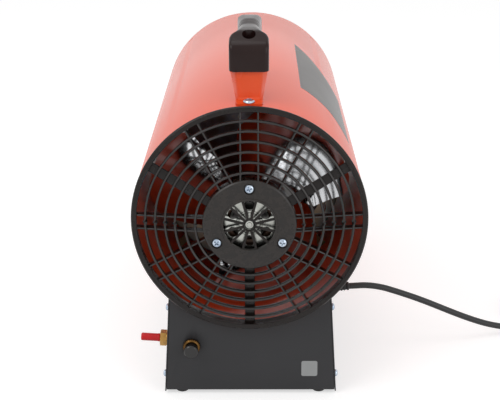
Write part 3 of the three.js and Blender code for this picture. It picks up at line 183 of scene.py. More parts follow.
def rounded(points: Sequence[Pair], radius: float | Sequence[float], steps: int = 4) -> list[Pair]:
    """Rounds the corners of a closed outline.

    Args:
        points: the outline's corners.
        radius: one radius, or one for each corner; 0 keeps a corner sharp.
        steps: steps in each rounded corner.

    Returns:
        The corners of the rounded outline.
    """
    radii = [radius] * len(points) if isinstance(radius, (int, float)) else list(radius)
    result: list[Pair] = []
    for i, (here, size) in enumerate(zip(points, radii, strict=True)):
        corner = Vector(here)
        back = Vector(points[i - 1]) - corner
        ahead = Vector(points[(i + 1) % len(points)]) - corner
        angle = back.angle(ahead, math.pi) if back.length and ahead.length else math.pi
        if size <= 0 or angle > STRAIGHT:
            result.append(tuple(here))
            continue
        run = min(size / math.tan(angle / 2), EDGE_SHARE * back.length, EDGE_SHARE * ahead.length)
        real = run * math.tan(angle / 2)
        back.normalize()
        ahead.normalize()
        centre = corner + (back + ahead).normalized() * (real / math.sin(angle / 2))
        start, end = corner + back * run - centre, corner + ahead * run - centre
        first = math.atan2(start.y, start.x)
        sweep = (math.atan2(end.y, end.x) - first + math.pi) % (2 * math.pi) - math.pi
        for k in range(steps + 1):
            turn = first + sweep * k / steps
            result.append((centre.x + real * math.cos(turn), centre.y + real * math.sin(turn)))
    return result


@dataclass
class Shape:
    """Corners and faces in millimetres."""

    corners: list[Vector] = field(default_factory=list)
    faces: list[tuple[int, ...]] = field(default_factory=list)

    def placed(self, matrix: Matrix) -> "Shape":
        """The shape at another place."""
        return Shape([matrix @ corner for corner in self.corners], list(self.faces))

    def moved(self, x: float = 0, y: float = 0, z: float = 0) -> "Shape":
        """The shape pushed along."""
        return self.placed(Matrix.Translation((x, y, z)))

    def mesh(self, name: str, in_place: bool = True) -> Mesh:
        """A closed mesh with its faces outward.

        Args:
            name: the mesh's name.
            in_place: whether its corners are moved into the frame, or only scaled to metres.

        Returns:
            The new mesh.
        """
        made = bmesh.new()
        for corner in self.corners:
            made.verts.new(to_row(corner) if in_place else corner * MM)
        made.verts.ensure_lookup_table()
        for face in self.faces:
            if len(set(face)) > 2:
                made.faces.new([made.verts[i] for i in face])
        bmesh.ops.remove_doubles(made, verts=made.verts, dist=WELD)
        bmesh.ops.dissolve_degenerate(made, edges=made.edges, dist=NO_EDGE)
        bmesh.ops.recalc_face_normals(made, faces=made.faces)
        mesh = bpy.data.meshes.new(name)
        made.to_mesh(mesh)
        made.free()
        return mesh


def together(*shapes: Shape) -> Shape:
    """Several shapes as one.

    Args:
        *shapes: what is put together.

    Returns:
        The whole.
    """
    whole = Shape()
    for shape in shapes:
        first = len(whole.corners)
        whole.corners += shape.corners
        whole.faces += [tuple(first + i for i in face) for face in shape.faces]
    return whole


def lofted(rings: Sequence[Sequence[Sequence[float]]], closed: bool = False) -> Shape:
    """A skin through rings of equally many points, with flat ends unless it closes on itself.

    Args:
        rings: the rings of points, in order.
        closed: whether the last ring joins the first.

    Returns:
        The skin.
    """
    count = len(rings[0])
    corners = [Vector(point) for ring in rings for point in ring]
    faces: list[tuple[int, ...]] = []
    for i in range(len(rings) if closed else len(rings) - 1):
        here, there = i * count, ((i + 1) % len(rings)) * count
        for k in range(count):
            ahead = (k + 1) % count
            faces.append((here + k, here + ahead, there + ahead, there + k))
    if not closed:
        last = (len(rings) - 1) * count
        faces += [tuple(range(count)), tuple(last + k for k in reversed(range(count)))]
    return Shape(corners, faces)


def turned(profile: Sequence[Pair], segments: int = 96) -> Shape:
    """A closed (radius, along) profile turned about Y.

    Args:
        profile: its corners.
        segments: how many faces go round.

    Returns:
        The turned shape.
    """
    rings = []
    for i in range(segments):
        turn = 2 * math.pi * i / segments
        rings.append([(r * math.cos(turn), along, r * math.sin(turn)) for r, along in profile])
    shape = lofted(rings, closed=True)
    radii = [r for r, _ in profile] * segments
    shape.faces = [f for f in shape.faces if max(radii[i] for i in f) > ON_AXIS]
    return shape


def plate(plane: Plane, outline: Sequence[Pair], low: float, high: float) -> Shape:
    """A flat outline given thickness between two places on the third axis.

    Args:
        plane: the plane of the outline.
        outline: its corners.
        low: the first place.
        high: the second place.

    Returns:
        The plate.
    """
    u, v, w = plane.value
    rings = []
    for level in (low, high):
        ring = []
        for a, b in outline:
            point = [0.0, 0.0, 0.0]
            point[u], point[v], point[w] = a, b, level
            ring.append(point)
        rings.append(ring)
    return lofted(rings)


def block(low: Triple, high: Triple, edge: float = 0.0, plane: Plane = Plane.XZ) -> Shape:
    """A box between two corners, with the four edges square to a plane rounded."""
    u, v, w = plane.value
    return plate(plane, rounded(oblong(low[u], low[v], high[u], high[v]), edge), low[w], high[w])


def ribbon(line: Sequence[Pair], thick: float, bend: float) -> list[Pair]:
    """The outline of a bent sheet's section, to the left of its line, with its bends rounded.

    Args:
        line: the points of its right side.
        thick: the sheet's thickness.
        bend: the inner radius of its bends.

    Returns:
        The section's outline.
    """
    count = len(line)
    left: list[Pair] = []
    for i, here in enumerate(line):
        back = Vector(here) - Vector(line[i - 1]) if i else Vector(line[1]) - Vector(here)
        ahead = Vector(line[i + 1]) - Vector(here) if i + 1 < count else back
        side = (back.normalized().orthogonal() + ahead.normalized().orthogonal()).normalized()
        reach = thick / max(0.3, side.dot(ahead.normalized().orthogonal()))
        left.append((here[0] + side.x * reach, here[1] + side.y * reach))
    radii = [0.0] + [bend + thick] * (count - 2) + [0.0, 0.0] + [bend] * (count - 2) + [0.0]
    return rounded([*line, *reversed(left)], radii, 5)


def spline(points: Sequence[Sequence[float]], step: float) -> list[Vector]:
    """A centripetal curve through points, sampled at even steps.

    Args:
        points: the points, in millimetres.
        step: the distance between samples.

    Returns:
        Points along the curve, both ends included.
    """
    known = [Vector(p) for p in points]
    known = [2 * known[0] - known[1], *known, 2 * known[-1] - known[-2]]
    fine: list[Vector] = []
    for a, b, c, d in zip(known, known[1:], known[2:], known[3:], strict=False):
        d0, d1, d2 = (max(1e-4, (q - p).length ** 0.5) for p, q in ((a, b), (b, c), (c, d)))
        t1 = ((b - a) / d0 - (c - a) / (d0 + d1) + (c - b) / d1) * d1
        t2 = ((c - b) / d1 - (d - b) / (d1 + d2) + (d - c) / d2) * d1
        count = max(4, math.ceil((c - b).length / FINE_STEP))
        for k in range(count):
            s = k / count
            fine.append(b + t1 * s + (3 * (c - b) - 2 * t1 - t2) * s**2 + (2 * (b - c) + t1 + t2) * s**3)
    fine.append(known[-2])
    return evenly(fine, step)


def evenly(line: Sequence[Vector], step: float) -> list[Vector]:
    """A line of points sampled again at even distances along it.

    Args:
        line: the points.
        step: about how far apart the new points are.

    Returns:
        The new points, both ends included.
    """
    whole = length_of(line)
    count = max(2, round(whole / step))
    result, walked, wanted = [line[0]], 0.0, whole / count
    for a, b in zip(line, line[1:], strict=False):
        run = (b - a).length
        while run and walked + run >= wanted * len(result) and len(result) < count:
            result.append(a.lerp(b, (wanted * len(result) - walked) / run))
        walked += run
    return [*result, line[-1]]


def length_of(line: Sequence[Vector]) -> float:
    """The length along a line of points."""
    return sum((b - a).length for a, b in zip(line, line[1:], strict=False))


# Objects
def shown(name: str, mesh: ID) -> Object:
    """A new object in the scene.

    Args:
        name: its name.
        mesh: its mesh or curve.

    Returns:
        The object.
    """
    made = bpy.data.objects.new(name, mesh)
    bpy.context.scene.collection.objects.link(made)
    return made


def evaluated(source: Object, name: str) -> Mesh:
    """The plain mesh that an object's modifiers give.

    Args:
        source: the object.
        name: the new mesh's name.

    Returns:
        The mesh.
    """
    graph = bpy.context.evaluated_depsgraph_get()
    mesh = bpy.data.meshes.new_from_object(source.evaluated_get(graph), depsgraph=graph)
    mesh.name = name
    return mesh


def carved(shape: Shape, cutters: Shape, name: str = "carved", in_place: bool = True) -> Mesh:
    """A shape with others cut out of it.

    Args:
        shape: what is cut.
        cutters: closed shapes that may not touch each other.
        name: the new mesh's name.
        in_place: whether the mesh is moved into the frame.

    Returns:
        The cut mesh.
    """
    body, tool = (shown(name, part.mesh(name, in_place)) for part in (shape, cutters))
    change = body.modifiers.new("Cut", "BOOLEAN")
    change.operation, change.solver, change.object = "DIFFERENCE", "EXACT", tool
    mesh = evaluated(body, name)
    for used in (body, tool):
        bpy.data.objects.remove(used)
    return mesh


def dressed(
    name: str, form: Shape | Mesh, finish: "Finish", body: Body = Body.HEATER,
    stands_for: Iterable[str] = (), sharp: float = SHARP, edge: float = 0.0,
) -> Object:
    """Makes a shape or a mesh a finished piece.

    Args:
        name: the piece's name.
        form: its shape in millimetres, or its mesh in the frame's place.
        finish: its finish.
        body: the body that it rides on.
        stands_for: the frame's nodes that it replaces.
        sharp: edges that turn by more than these degrees stay sharp.
        edge: width in millimetres of a live bevel on its sharp edges.

    Returns:
        The piece.
    """
    mesh = form.mesh(name) if isinstance(form, Shape) else form
    piece = shown(name, mesh)
    mesh.materials.clear()
    mesh.materials.append(finish.material())
    mesh.shade_smooth()
    if edge:
        bevel = piece.modifiers.new("Edges", "BEVEL")
        bevel.width, bevel.segments, bevel.limit_method = edge * MM, 2, "ANGLE"
        bevel.angle_limit, bevel.harden_normals, bevel.miter_outer = math.radians(sharp), True, "MITER_ARC"
    else:
        mesh.set_sharp_from_angle(angle=math.radians(sharp))
    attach(piece, body.value)
    if stands_for:
        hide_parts(*stands_for)
    log.info("%s: %d faces", name, len(mesh.polygons))
    return piece


def from_frame(node: str) -> Mesh:
    """A merged copy of a node's mesh, with its flat faces whole again.

    Args:
        node: the node's name.

    Returns:
        The copy.
    """
    made = bmesh.new()
    made.from_mesh(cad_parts[node].data)
    bmesh.ops.remove_doubles(made, verts=made.verts, dist=FRAME_WELD)
    bmesh.ops.dissolve_limit(made, angle_limit=FLAT, verts=made.verts, edges=made.edges)
    bmesh.ops.recalc_face_normals(made, faces=made.faces)
    mesh = bpy.data.meshes.new(node)
    made.to_mesh(mesh)
    made.free()
    return mesh


# Geometry trees
class Tree:
    """A Geometry Nodes tree with named inputs."""

    def __init__(self, name: str, inputs: dict[str, str]) -> None:
        """Makes an empty tree.

        Args:
            name: the tree's name.
            inputs: each input's name and kind of socket.
        """
        self.group = bpy.data.node_groups.new(name, "GeometryNodeTree")
        sockets = self.group.interface
        sockets.new_socket("Geometry", in_out="INPUT", socket_type="NodeSocketGeometry")
        for label, kind in inputs.items():
            sockets.new_socket(label, in_out="INPUT", socket_type=f"NodeSocket{kind}")
        sockets.new_socket("Material", in_out="INPUT", socket_type="NodeSocketMaterial")
        sockets.new_socket("Geometry", in_out="OUTPUT", socket_type="NodeSocketGeometry")
        self.entry = self.group.nodes.new("NodeGroupInput")

    def node(self, kind: str, settings: dict | None = None, **inputs: object) -> Node:
        """Adds a node.

        Args:
            kind: the node's type, without its first word.
            settings: properties to set on it.
            **inputs: values or output sockets for its inputs, spaces written as underscores.

        Returns:
            The node.
        """
        full = kind if kind.startswith(("Shader", "Function")) else f"GeometryNode{kind}"
        made = self.group.nodes.new(full)
        for key, value in (settings or {}).items():
            setattr(made, key, value)
        for key, value in inputs.items():
            socket = made.inputs[int(key[1:])] if key[0] == "_" else made.inputs[key.replace("_", " ")]
            if isinstance(value, NodeSocket):
                self.group.links.new(value, socket)
            else:
                socket.default_value = value
        return made

    def math(self, operation: str, first: object, second: object) -> NodeSocket:
        """The result of a sum on two numbers or sockets."""
        return self.node("ShaderNodeMath", {"operation": operation}, _0=first, _1=second).outputs[0]

    def done(self, geometry: NodeSocket) -> "Tree":
        """Ends the tree in Realize Instances and Set Material.

        Args:
            geometry: the socket that gives its geometry.

        Returns:
            The tree.
        """
        real = self.node("RealizeInstances", Geometry=geometry)
        coated = self.node("SetMaterial", Geometry=real.outputs[0], Material=self.entry.outputs["Material"])
        end = self.group.nodes.new("NodeGroupOutput")
        self.group.links.new(coated.outputs[0], end.inputs[0])
        return self

    def run(self, base: ID, name: str, finish: "Finish", **values: object) -> Mesh:
        """Runs the tree on a mesh or curve and gives the result as a plain mesh.

        Args:
            base: the mesh or curve that it starts from.
            name: the result's name.
            finish: the finish that its Set Material gives.
            **values: the named inputs, spaces written as underscores.

        Returns:
            The plain mesh.
        """
        holder = shown(name, base)
        modifier = holder.modifiers.new(name, "NODES")
        modifier.node_group = self.group
        values["Material"] = finish.material()
        for label, value in values.items():
            modifier[self.group.interface.items_tree[label.replace("_", " ")].identifier] = value
        mesh = evaluated(holder, name)
        holder.modifiers.remove(modifier)
        bpy.data.objects.remove(holder)
        return mesh


@cache
def copies_tree() -> Tree:
    """Copies of an object on points, each turned as its point says.

    Returns:
        The tree; its input is the object that is copied.
    """
    tree = Tree("Copies on points", {"Copy": "Object"})
    piece = tree.node("ObjectInfo", {"transform_space": "ORIGINAL"}, Object=tree.entry.outputs["Copy"])
    turn = tree.node("InputNamedAttribute", {"data_type": "FLOAT_VECTOR"}, Name="turn")
    way = tree.node("FunctionNodeEulerToRotation", Euler=turn.outputs[0])
    spread = tree.node(
        "InstanceOnPoints", Points=tree.entry.outputs["Geometry"], Instance=piece.outputs["Geometry"],
        Rotation=way.outputs[0],
    )
    return tree.done(spread.outputs[0])


@cache
def tube_tree() -> Tree:
    """A round tube along a line.

    Returns:
        The tree; its inputs are the tube's radius and sides.
    """
    tree = Tree("Tube along a line", {"Radius": "Float", "Sides": "Int"})
    section = tree.node("CurvePrimitiveCircle", Resolution=tree.entry.outputs["Sides"])
    section = tree.node("Transform", Geometry=section.outputs[0])
    radius = tree.entry.outputs["Radius"]
    size = tree.node("ShaderNodeCombineXYZ", _0=radius, _1=radius, _2=1.0)
    tree.group.links.new(size.outputs[0], section.inputs["Scale"])
    swept = tree.node(
        "CurveToMesh", Curve=tree.entry.outputs["Geometry"], Profile_Curve=section.outputs[0], Fill_Caps=True,
    )
    return tree.done(swept.outputs[0])


@cache
def rings_tree() -> Tree:
    """Rings of growing radius on a shallow cone, each of a rounded section.

    Returns:
        The tree; its inputs are the rings' count and sizes, and the cone's slope and bore.
    """
    tree = Tree("Rings on a cone", {
        "Count": "Int", "First": "Float", "Pitch": "Float", "Width": "Float", "Depth": "Float",
        "Round": "Float", "Slope": "Float", "Bore": "Float",
    })
    given = tree.entry.outputs
    index = tree.node("InputIndex").outputs[0]
    radius = tree.math("ADD", given["First"], tree.math("MULTIPLY", index, given["Pitch"]))
    proud = tree.math("MULTIPLY", tree.math("SUBTRACT", given["Bore"], radius), given["Slope"])
    back = tree.math("SUBTRACT", tree.math("MULTIPLY", given["Depth"], 0.5), proud)
    place = tree.node("ShaderNodeCombineXYZ", _1=back)
    line = tree.node("MeshLine", Count=given["Count"])
    points = tree.node("SetPosition", Geometry=line.outputs[0], Position=place.outputs[0])
    circle = tree.node("CurvePrimitiveCircle", Resolution=160, Radius=1.0)
    upright = tree.node("Transform", Geometry=circle.outputs[0], Rotation=(math.pi / 2, 0, 0))
    size = tree.node("ShaderNodeCombineXYZ", _0=radius, _1=1.0, _2=radius)
    spread = tree.node(
        "InstanceOnPoints", Points=points.outputs[0], Instance=upright.outputs[0], Scale=size.outputs[0],
    )
    loops = tree.node("RealizeInstances", Geometry=spread.outputs[0])
    flat = tree.node("SetCurveNormal", {"mode": "Z_UP"}, Curve=loops.outputs[0])
    section = tree.node("CurvePrimitiveQuadrilateral", Width=given["Depth"], Height=given["Width"])
    soft = tree.node(
        "FilletCurve", {"mode": "POLY"}, Curve=section.outputs[0], Count=3, Radius=given["Round"],
    )
    swept = tree.node(
        "CurveToMesh", Curve=flat.outputs[0], Profile_Curve=soft.outputs[0], Fill_Caps=True,
    )
    return tree.done(swept.outputs[0])


def copies(name: str, source: Shape | Mesh, places: Sequence[Matrix], finish: "Finish") -> Mesh:
    """One mesh of a shape repeated at places.

    Args:
        name: the result's name.
        source: the shape in millimetres, or a mesh in metres, about its own origin.
        places: a matrix about the drum's axis for each copy.
        finish: the finish of the copies.

    Returns:
        The mesh, in the frame's place.
    """
    mesh = source.mesh(name + ".one", in_place=False) if isinstance(source, Shape) else source
    one = shown(name + ".one", mesh)
    points = bpy.data.meshes.new(name)
    points.from_pydata([to_row(place.translation) for place in places], [], [])
    turns = points.attributes.new("turn", "FLOAT_VECTOR", "POINT")
    for item, place in zip(turns.data, places, strict=True):
        item.vector = place.to_euler()
    made = copies_tree().run(points, name, finish, Copy=one)
    bpy.data.objects.remove(one)
    return made


def repeated(
    name: str, source: Shape | Mesh, places: Sequence[Matrix], finish: "Finish",
    body: Body = Body.HEATER, stands_for: Iterable[str] = (), sharp: float = SHARP,
) -> Object:
    """One finished piece of a shape repeated at places, with the rest as for one that is dressed."""
    return dressed(name, copies(name, source, places, finish), finish, body, stands_for, sharp)


def tube(name: str, line: Sequence[Vector], radius: float, sides: int, finish: "Finish") -> Mesh:
    """A round tube along a line of points about the drum's axis, in the frame's place.

    Args:
        name: the tube's name.
        line: the points, in millimetres.
        radius: its radius.
        sides: how many faces go round.
        finish: its finish.

    Returns:
        The tube's mesh.
    """
    curve = bpy.data.curves.new(name, "CURVE")
    curve.dimensions = "3D"
    run = curve.splines.new("POLY")
    run.points.add(len(line) - 1)
    for point, here in zip(run.points, line, strict=True):
        point.co = (*to_row(here), 1)
    return tube_tree().run(curve, name, finish, Radius=radius * MM, Sides=sides)


# Finishes
def shader_group(name: str, inputs: dict[str, tuple[str, object]], outputs: dict[str, str]) -> NodeTree:
    """An empty shader group with its sockets.

    Args:
        name: the group's name.
        inputs: each input's name, kind and value.
        outputs: each output's name and kind.

    Returns:
        The group.
    """
    group = bpy.data.node_groups.new(name, "ShaderNodeTree")
    for label, (kind, value) in inputs.items():
        socket = group.interface.new_socket(label, in_out="INPUT", socket_type=f"NodeSocket{kind}")
        socket.default_value = value
    for label, kind in outputs.items():
        group.interface.new_socket(label, in_out="OUTPUT", socket_type=f"NodeSocket{kind}")
    return group


def feed(tree: NodeTree, node: Node, inputs: dict[str | int, object]) -> None:
    """Gives a node's inputs their values or links.

    Args:
        tree: the node's tree.
        node: the node.
        inputs: values or output sockets, by the input's name or number.
    """
    for key, value in inputs.items():
        if isinstance(value, NodeSocket):
            tree.links.new(value, node.inputs[key])
        else:
            node.inputs[key].default_value = value


def shader_node(
    tree: NodeTree, kind: str, inputs: dict[str | int, object] | None = None, **settings: object,
) -> Node:
    """Adds a node to a shader tree.

    Args:
        tree: the tree.
        kind: the node's type, without its first word.
        inputs: values or output sockets, by the input's name or number.
        **settings: properties to set on it.

    Returns:
        The node.
    """
    made = tree.nodes.new(f"ShaderNode{kind}")
    for key, value in settings.items():
        setattr(made, key, value)
    feed(tree, made, inputs or {})
    return made


@cache
def surface_noise() -> NodeTree:
    """Uneven patches and fine grain over a surface, stretched where it was drawn or brushed.

    Returns:
        The group, which is built once.
    """
    group = shader_group("Surface variation", {
        "Patch Scale": ("Float", 20.0), "Patch Contrast": ("Float", 0.2), "Grain Scale": ("Float", 900.0),
        "Stretch": ("Vector", (1.0, 1.0, 1.0)),
    }, {"Patches": "Float", "Grain": "Float"})
    given = group.nodes.new("NodeGroupInput").outputs
    place = shader_node(group, "TexCoord").outputs["Object"]
    place = shader_node(group, "Mapping", {"Vector": place, "Scale": given["Stretch"]}).outputs[0]
    patches, grain = (
        shader_node(group, "TexNoise", {"Vector": place, "Scale": given[scale], "Detail": detail}).outputs[0]
        for scale, detail in (("Patch Scale", 3.0), ("Grain Scale", 2.0))
    )
    low, high = (
        shader_node(group, "Math", {0: 0.5, 1: given["Patch Contrast"]}, operation=operation).outputs[0]
        for operation in ("SUBTRACT", "ADD")
    )
    fit = shader_node(group, "MapRange", {"Value": patches, "From Min": low, "From Max": high})
    leave = group.nodes.new("NodeGroupOutput")
    group.links.new(fit.outputs[0], leave.inputs["Patches"])
    group.links.new(grain, leave.inputs["Grain"])
    return group


@dataclass(frozen=True)
class Finish:
    """A surface finish: its colours, gloss and fine relief."""

    name: str
    slot: Slot
    colour: Triple
    shade: Triple  # what the colour drifts towards in patches
    rough: Pair = (0.35, 0.45)
    metal: float = 0.0
    coat: float = 0.0
    coat_rough: float = 0.04
    patch: float = 20.0
    contrast: float = 0.2
    grain: float = 900.0
    relief: float = 0.01  # height of the grain in millimetres
    stretch: Triple = (1.0, 1.0, 1.0)
    specular: float = 0.5

    def material(self) -> Material:
        """The finish's material, made when it is first asked for.

        Returns:
            The material.
        """
        known = bpy.data.materials.get(self.name)
        if known:
            return known
        made = bpy.data.materials.new(self.name)
        made.use_nodes = True
        tree = made.node_tree
        over = shader_node(tree, "Group", node_tree=surface_noise())
        feed(tree, over, {
            "Patch Scale": self.patch, "Patch Contrast": self.contrast, "Grain Scale": self.grain,
            "Stretch": self.stretch,
        })
        least, most = self.rough
        patches, grain = over.outputs
        gloss = shader_node(tree, "MapRange", {"Value": patches, "To Min": least, "To Max": most})
        shader = tree.nodes["Principled BSDF"]
        feed(tree, shader, {
            "Metallic": self.metal, "Coat Weight": self.coat, "Coat Roughness": self.coat_rough,
            "Specular IOR Level": self.specular, "Base Color": self.tint(tree, over),
            "Roughness": gloss.outputs[0],
        })
        if self.relief:
            bump = shader_node(tree, "Bump", {"Distance": self.relief * MM, "Height": grain})
            feed(tree, shader, {"Normal": bump.outputs[0]})
        return made

    def tint(self, tree: NodeTree, over: Node) -> NodeSocket:
        """The socket that gives the surface its colour."""
        return mixed(tree, over.outputs["Patches"], linear(*self.colour), linear(*self.shade))


def mixed(tree: NodeTree, mask: NodeSocket, first: object, second: object) -> NodeSocket:
    """Two colours mixed by a mask; each is a colour or a socket.

    Args:
        tree: the material's tree.
        mask: the mask; 0 gives the first colour.
        first: the first colour or socket.
        second: the second colour or socket.

    Returns:
        The socket of the mixed colour.
    """
    # a mix has sockets for each kind of data, and 6, 7 and 2 are the colours' own
    mix = shader_node(tree, "Mix", data_type="RGBA")
    feed(tree, mix, {0: mask, 6: first, 7: second})
    return mix.outputs[2]


@dataclass(frozen=True)
class Metal(Finish):
    """A bare metal finish."""

    metal: float = 1.0


@dataclass(frozen=True)
class HeatedSteel(Metal):
    """Bare steel with straw and blue heat colours where it gets hot."""

    hot: Pair = (150.0, 330.0)  # along the drum, where the tint begins and is full
    straw: Triple = (170, 128, 70)
    blue: Triple = (96, 98, 122)
    straw_at: float = 0.35  # share of the way from where the tint begins to where it is full
    blue_at: float = 0.6
    drift: float = 0.06  # metres by which the patches push the bands
    cover: Pair = (0.45, 0.8)  # least and most of the tint over the plain metal

    def tint(self, tree: NodeTree, over: Node) -> NodeSocket:
        """Bare metal that turns straw and then blue along the drum, in uneven bands.

        Args:
            tree: the material's tree.
            over: the node that gives the patches.

        Returns:
            The socket of the colour.
        """
        plain = super().tint(tree, over)
        patches = over.outputs["Patches"]
        place = shader_node(tree, "TexCoord").outputs["Object"]
        along = shader_node(tree, "SeparateXYZ", {0: place}).outputs["Y"]
        uneven = shader_node(tree, "Math", operation="MULTIPLY_ADD")
        feed(tree, uneven, {0: patches, 1: self.drift, 2: along})
        begin, full = ((y - MIDDLE_Y) * MM for y in self.hot)
        ramp = shader_node(tree, "MapRange", {
            "Value": uneven.outputs[0], "From Min": begin, "From Max": full,
        })
        band = shader_node(tree, "ValToRGB", {0: ramp.outputs[0]})
        stops = band.color_ramp.elements
        stops[0].position, stops[0].color = 0.0, linear(*self.colour)
        stops[1].position, stops[1].color = 1.0, linear(*self.shade)
        for position, colour in ((self.straw_at, self.straw), (self.blue_at, self.blue)):
            stops.new(position).color = linear(*colour)
        least, most = self.cover
        share = shader_node(tree, "MapRange", {"Value": patches, "To Min": least, "To Max": most})
        return mixed(tree, share.outputs[0], plain, band.outputs[0])


ORANGE = Finish("Orange gloss paint", Slot.ORANGE, (238, 84, 42), (233, 79, 38), (0.24, 0.28),
                coat=0.15, coat_rough=0.26, patch=9, contrast=0.5, grain=1500, relief=0.0)
BRACKET = Finish("Bracket paint", Slot.ORANGE, (236, 86, 35), (230, 80, 31), (0.2, 0.28),
                 patch=30, grain=1500, relief=0.003, specular=0.35)
DARK = Finish("Dark powder coat", Slot.DARK, (40, 40, 42), (47, 47, 49), (0.42, 0.52),
              patch=14, grain=2600, relief=0.02, specular=0.35)
FIELD = Finish("Grey printed field", Slot.DARK, (52, 45, 43), (58, 51, 49), (0.24, 0.32),
               patch=8, grain=1500, relief=0.0, specular=0.26)
BORDER = Finish("Field border", Slot.DARK, (40, 32, 30), (46, 38, 36), (0.25, 0.32), patch=30)
LABEL = Finish("Pale label", Slot.CERAMIC, (158, 160, 160), (150, 152, 152), (0.3, 0.4),
               patch=50, relief=0.004)
PLASTIC = Finish("Guard plastic", Slot.PLASTIC, (23, 17, 15), (29, 23, 21), (0.2, 0.3),
                 patch=60, grain=1500, relief=0.008, specular=0.26)
RING = Finish("Ring plastic", Slot.PLASTIC, (23, 17, 15), (29, 23, 21), (0.12, 0.2),
              patch=60, grain=1500, relief=0.006)
DISC = Finish("Guard disc plastic", Slot.PLASTIC, (32, 28, 26), (42, 37, 34), (0.2, 0.34),
              patch=150, contrast=0.12, grain=1100, relief=0.02, specular=0.35)
GLOSS = Finish("Gloss black plastic", Slot.GLOSS, (20, 18, 18), (26, 24, 23), (0.16, 0.24),
               patch=40, relief=0.004)
GRIP = Finish("Grip plastic", Slot.GLOSS, (33, 18, 17), (38, 23, 21), (0.18, 0.26),
              patch=50, grain=1300, relief=0.004, specular=0.2)
RED = Finish("Red cap plastic", Slot.RED, (196, 18, 24), (206, 26, 30), (0.3, 0.4),
             patch=90, relief=0.008, specular=0.35)
RUBBER = Finish("Black rubber", Slot.RUBBER, (24, 24, 25), (32, 32, 33), (0.55, 0.7),
                patch=70, grain=1800, relief=0.02)
LEAD = Finish("Cord jacket", Slot.RUBBER, (20, 20, 21), (28, 28, 29), (0.36, 0.46),
              patch=60, grain=2200)
CERAMIC = Finish("Glazed ceramic", Slot.CERAMIC, (232, 226, 214), (222, 214, 198), (0.2, 0.3),
                 coat=0.6, patch=70, relief=0.004)
COIL = Finish("Varnished windings", Slot.COPPER, (74, 52, 38), (52, 36, 28), (0.3, 0.45),
              metal=0.6, patch=300, grain=2600, relief=0.08, stretch=(1.0, 6.0, 1.0))
STEEL = Metal("Bright steel", Slot.STEEL, (190, 188, 184), (160, 158, 154), (0.24, 0.38),
              patch=30, grain=700, stretch=(1.0, 0.1, 1.0))
SHIELD = Metal("Bright pressed steel", Slot.STEEL, (184, 185, 180), (150, 151, 145), (0.16, 0.28),
               patch=50, relief=0.006)
# The straw and blue heat bands are the tube's own colour; its dark base colour is painted shade inside the
# drum.
SHADED_TUBE_STEEL = HeatedSteel("Heat-tinted steel with painted shade", Slot.STEEL, (76, 64, 58), (58, 48, 43), (0.4, 0.6),
                   patch=22, grain=500, relief=0.015, stretch=(1.0, 0.15, 1.0))
CUP = HeatedSteel("Scaled burner steel", Slot.STEEL, (150, 144, 138), (96, 88, 84), (0.35, 0.55),
                  patch=60, relief=0.03, hot=(120.0, 190.0))
ZINC = Metal("Zinc plating", Slot.ZINC, (196, 206, 216), (160, 176, 196), (0.2, 0.32),
             patch=160, grain=2400, relief=0.006)
# Darkened below bare aluminium as painted shade for the rotor and the fan hub inside the drum.
ALUMINIUM = Metal("Mill aluminium with painted shade", Slot.ALUMINIUM, (150, 148, 148), (120, 116, 114), (0.24, 0.36),
                  patch=34, grain=800, stretch=(0.3, 1.0, 1.0))
BLADE = Metal("Polished fan aluminium", Slot.ALUMINIUM, (214, 215, 217), (192, 193, 196), (0.07, 0.15),
              patch=24, grain=700, relief=0.004, stretch=(0.3, 1.0, 1.0))
BRASS = Metal("Machined brass", Slot.BRASS, (186, 146, 84), (160, 122, 68), (0.2, 0.34),
              patch=120, grain=1600, relief=0.008)
# A darker brass, used on the valve collar.
DARKER_BRASS = Metal("Darker brass", Slot.BRASS, (104, 76, 40), (78, 56, 32), (0.26, 0.4),
             patch=160, grain=1600, relief=0.008)
COPPER = Metal("Drawn copper", Slot.COPPER, (188, 112, 66), (158, 86, 50), (0.26, 0.42),
               patch=80, grain=1200, relief=0.008)


# Stage
@dataclass(frozen=True)
class Lamp:
    """A square soft lamp."""

    name: str
    place: Triple
    size: float
    power: float

    def build(self, aim: Triple) -> None:
        """Puts the lamp in the scene.

        Args:
            aim: the point that it faces.
        """
        data = bpy.data.lights.new(self.name, "AREA")
        data.energy, data.size = self.power, self.size
        made = bpy.data.objects.new(self.name, data)
        made.location = self.place
        made.rotation_euler = (Vector(aim) - Vector(self.place)).to_track_quat("-Z", "Y").to_euler()
        bpy.context.scene.collection.objects.link(made)


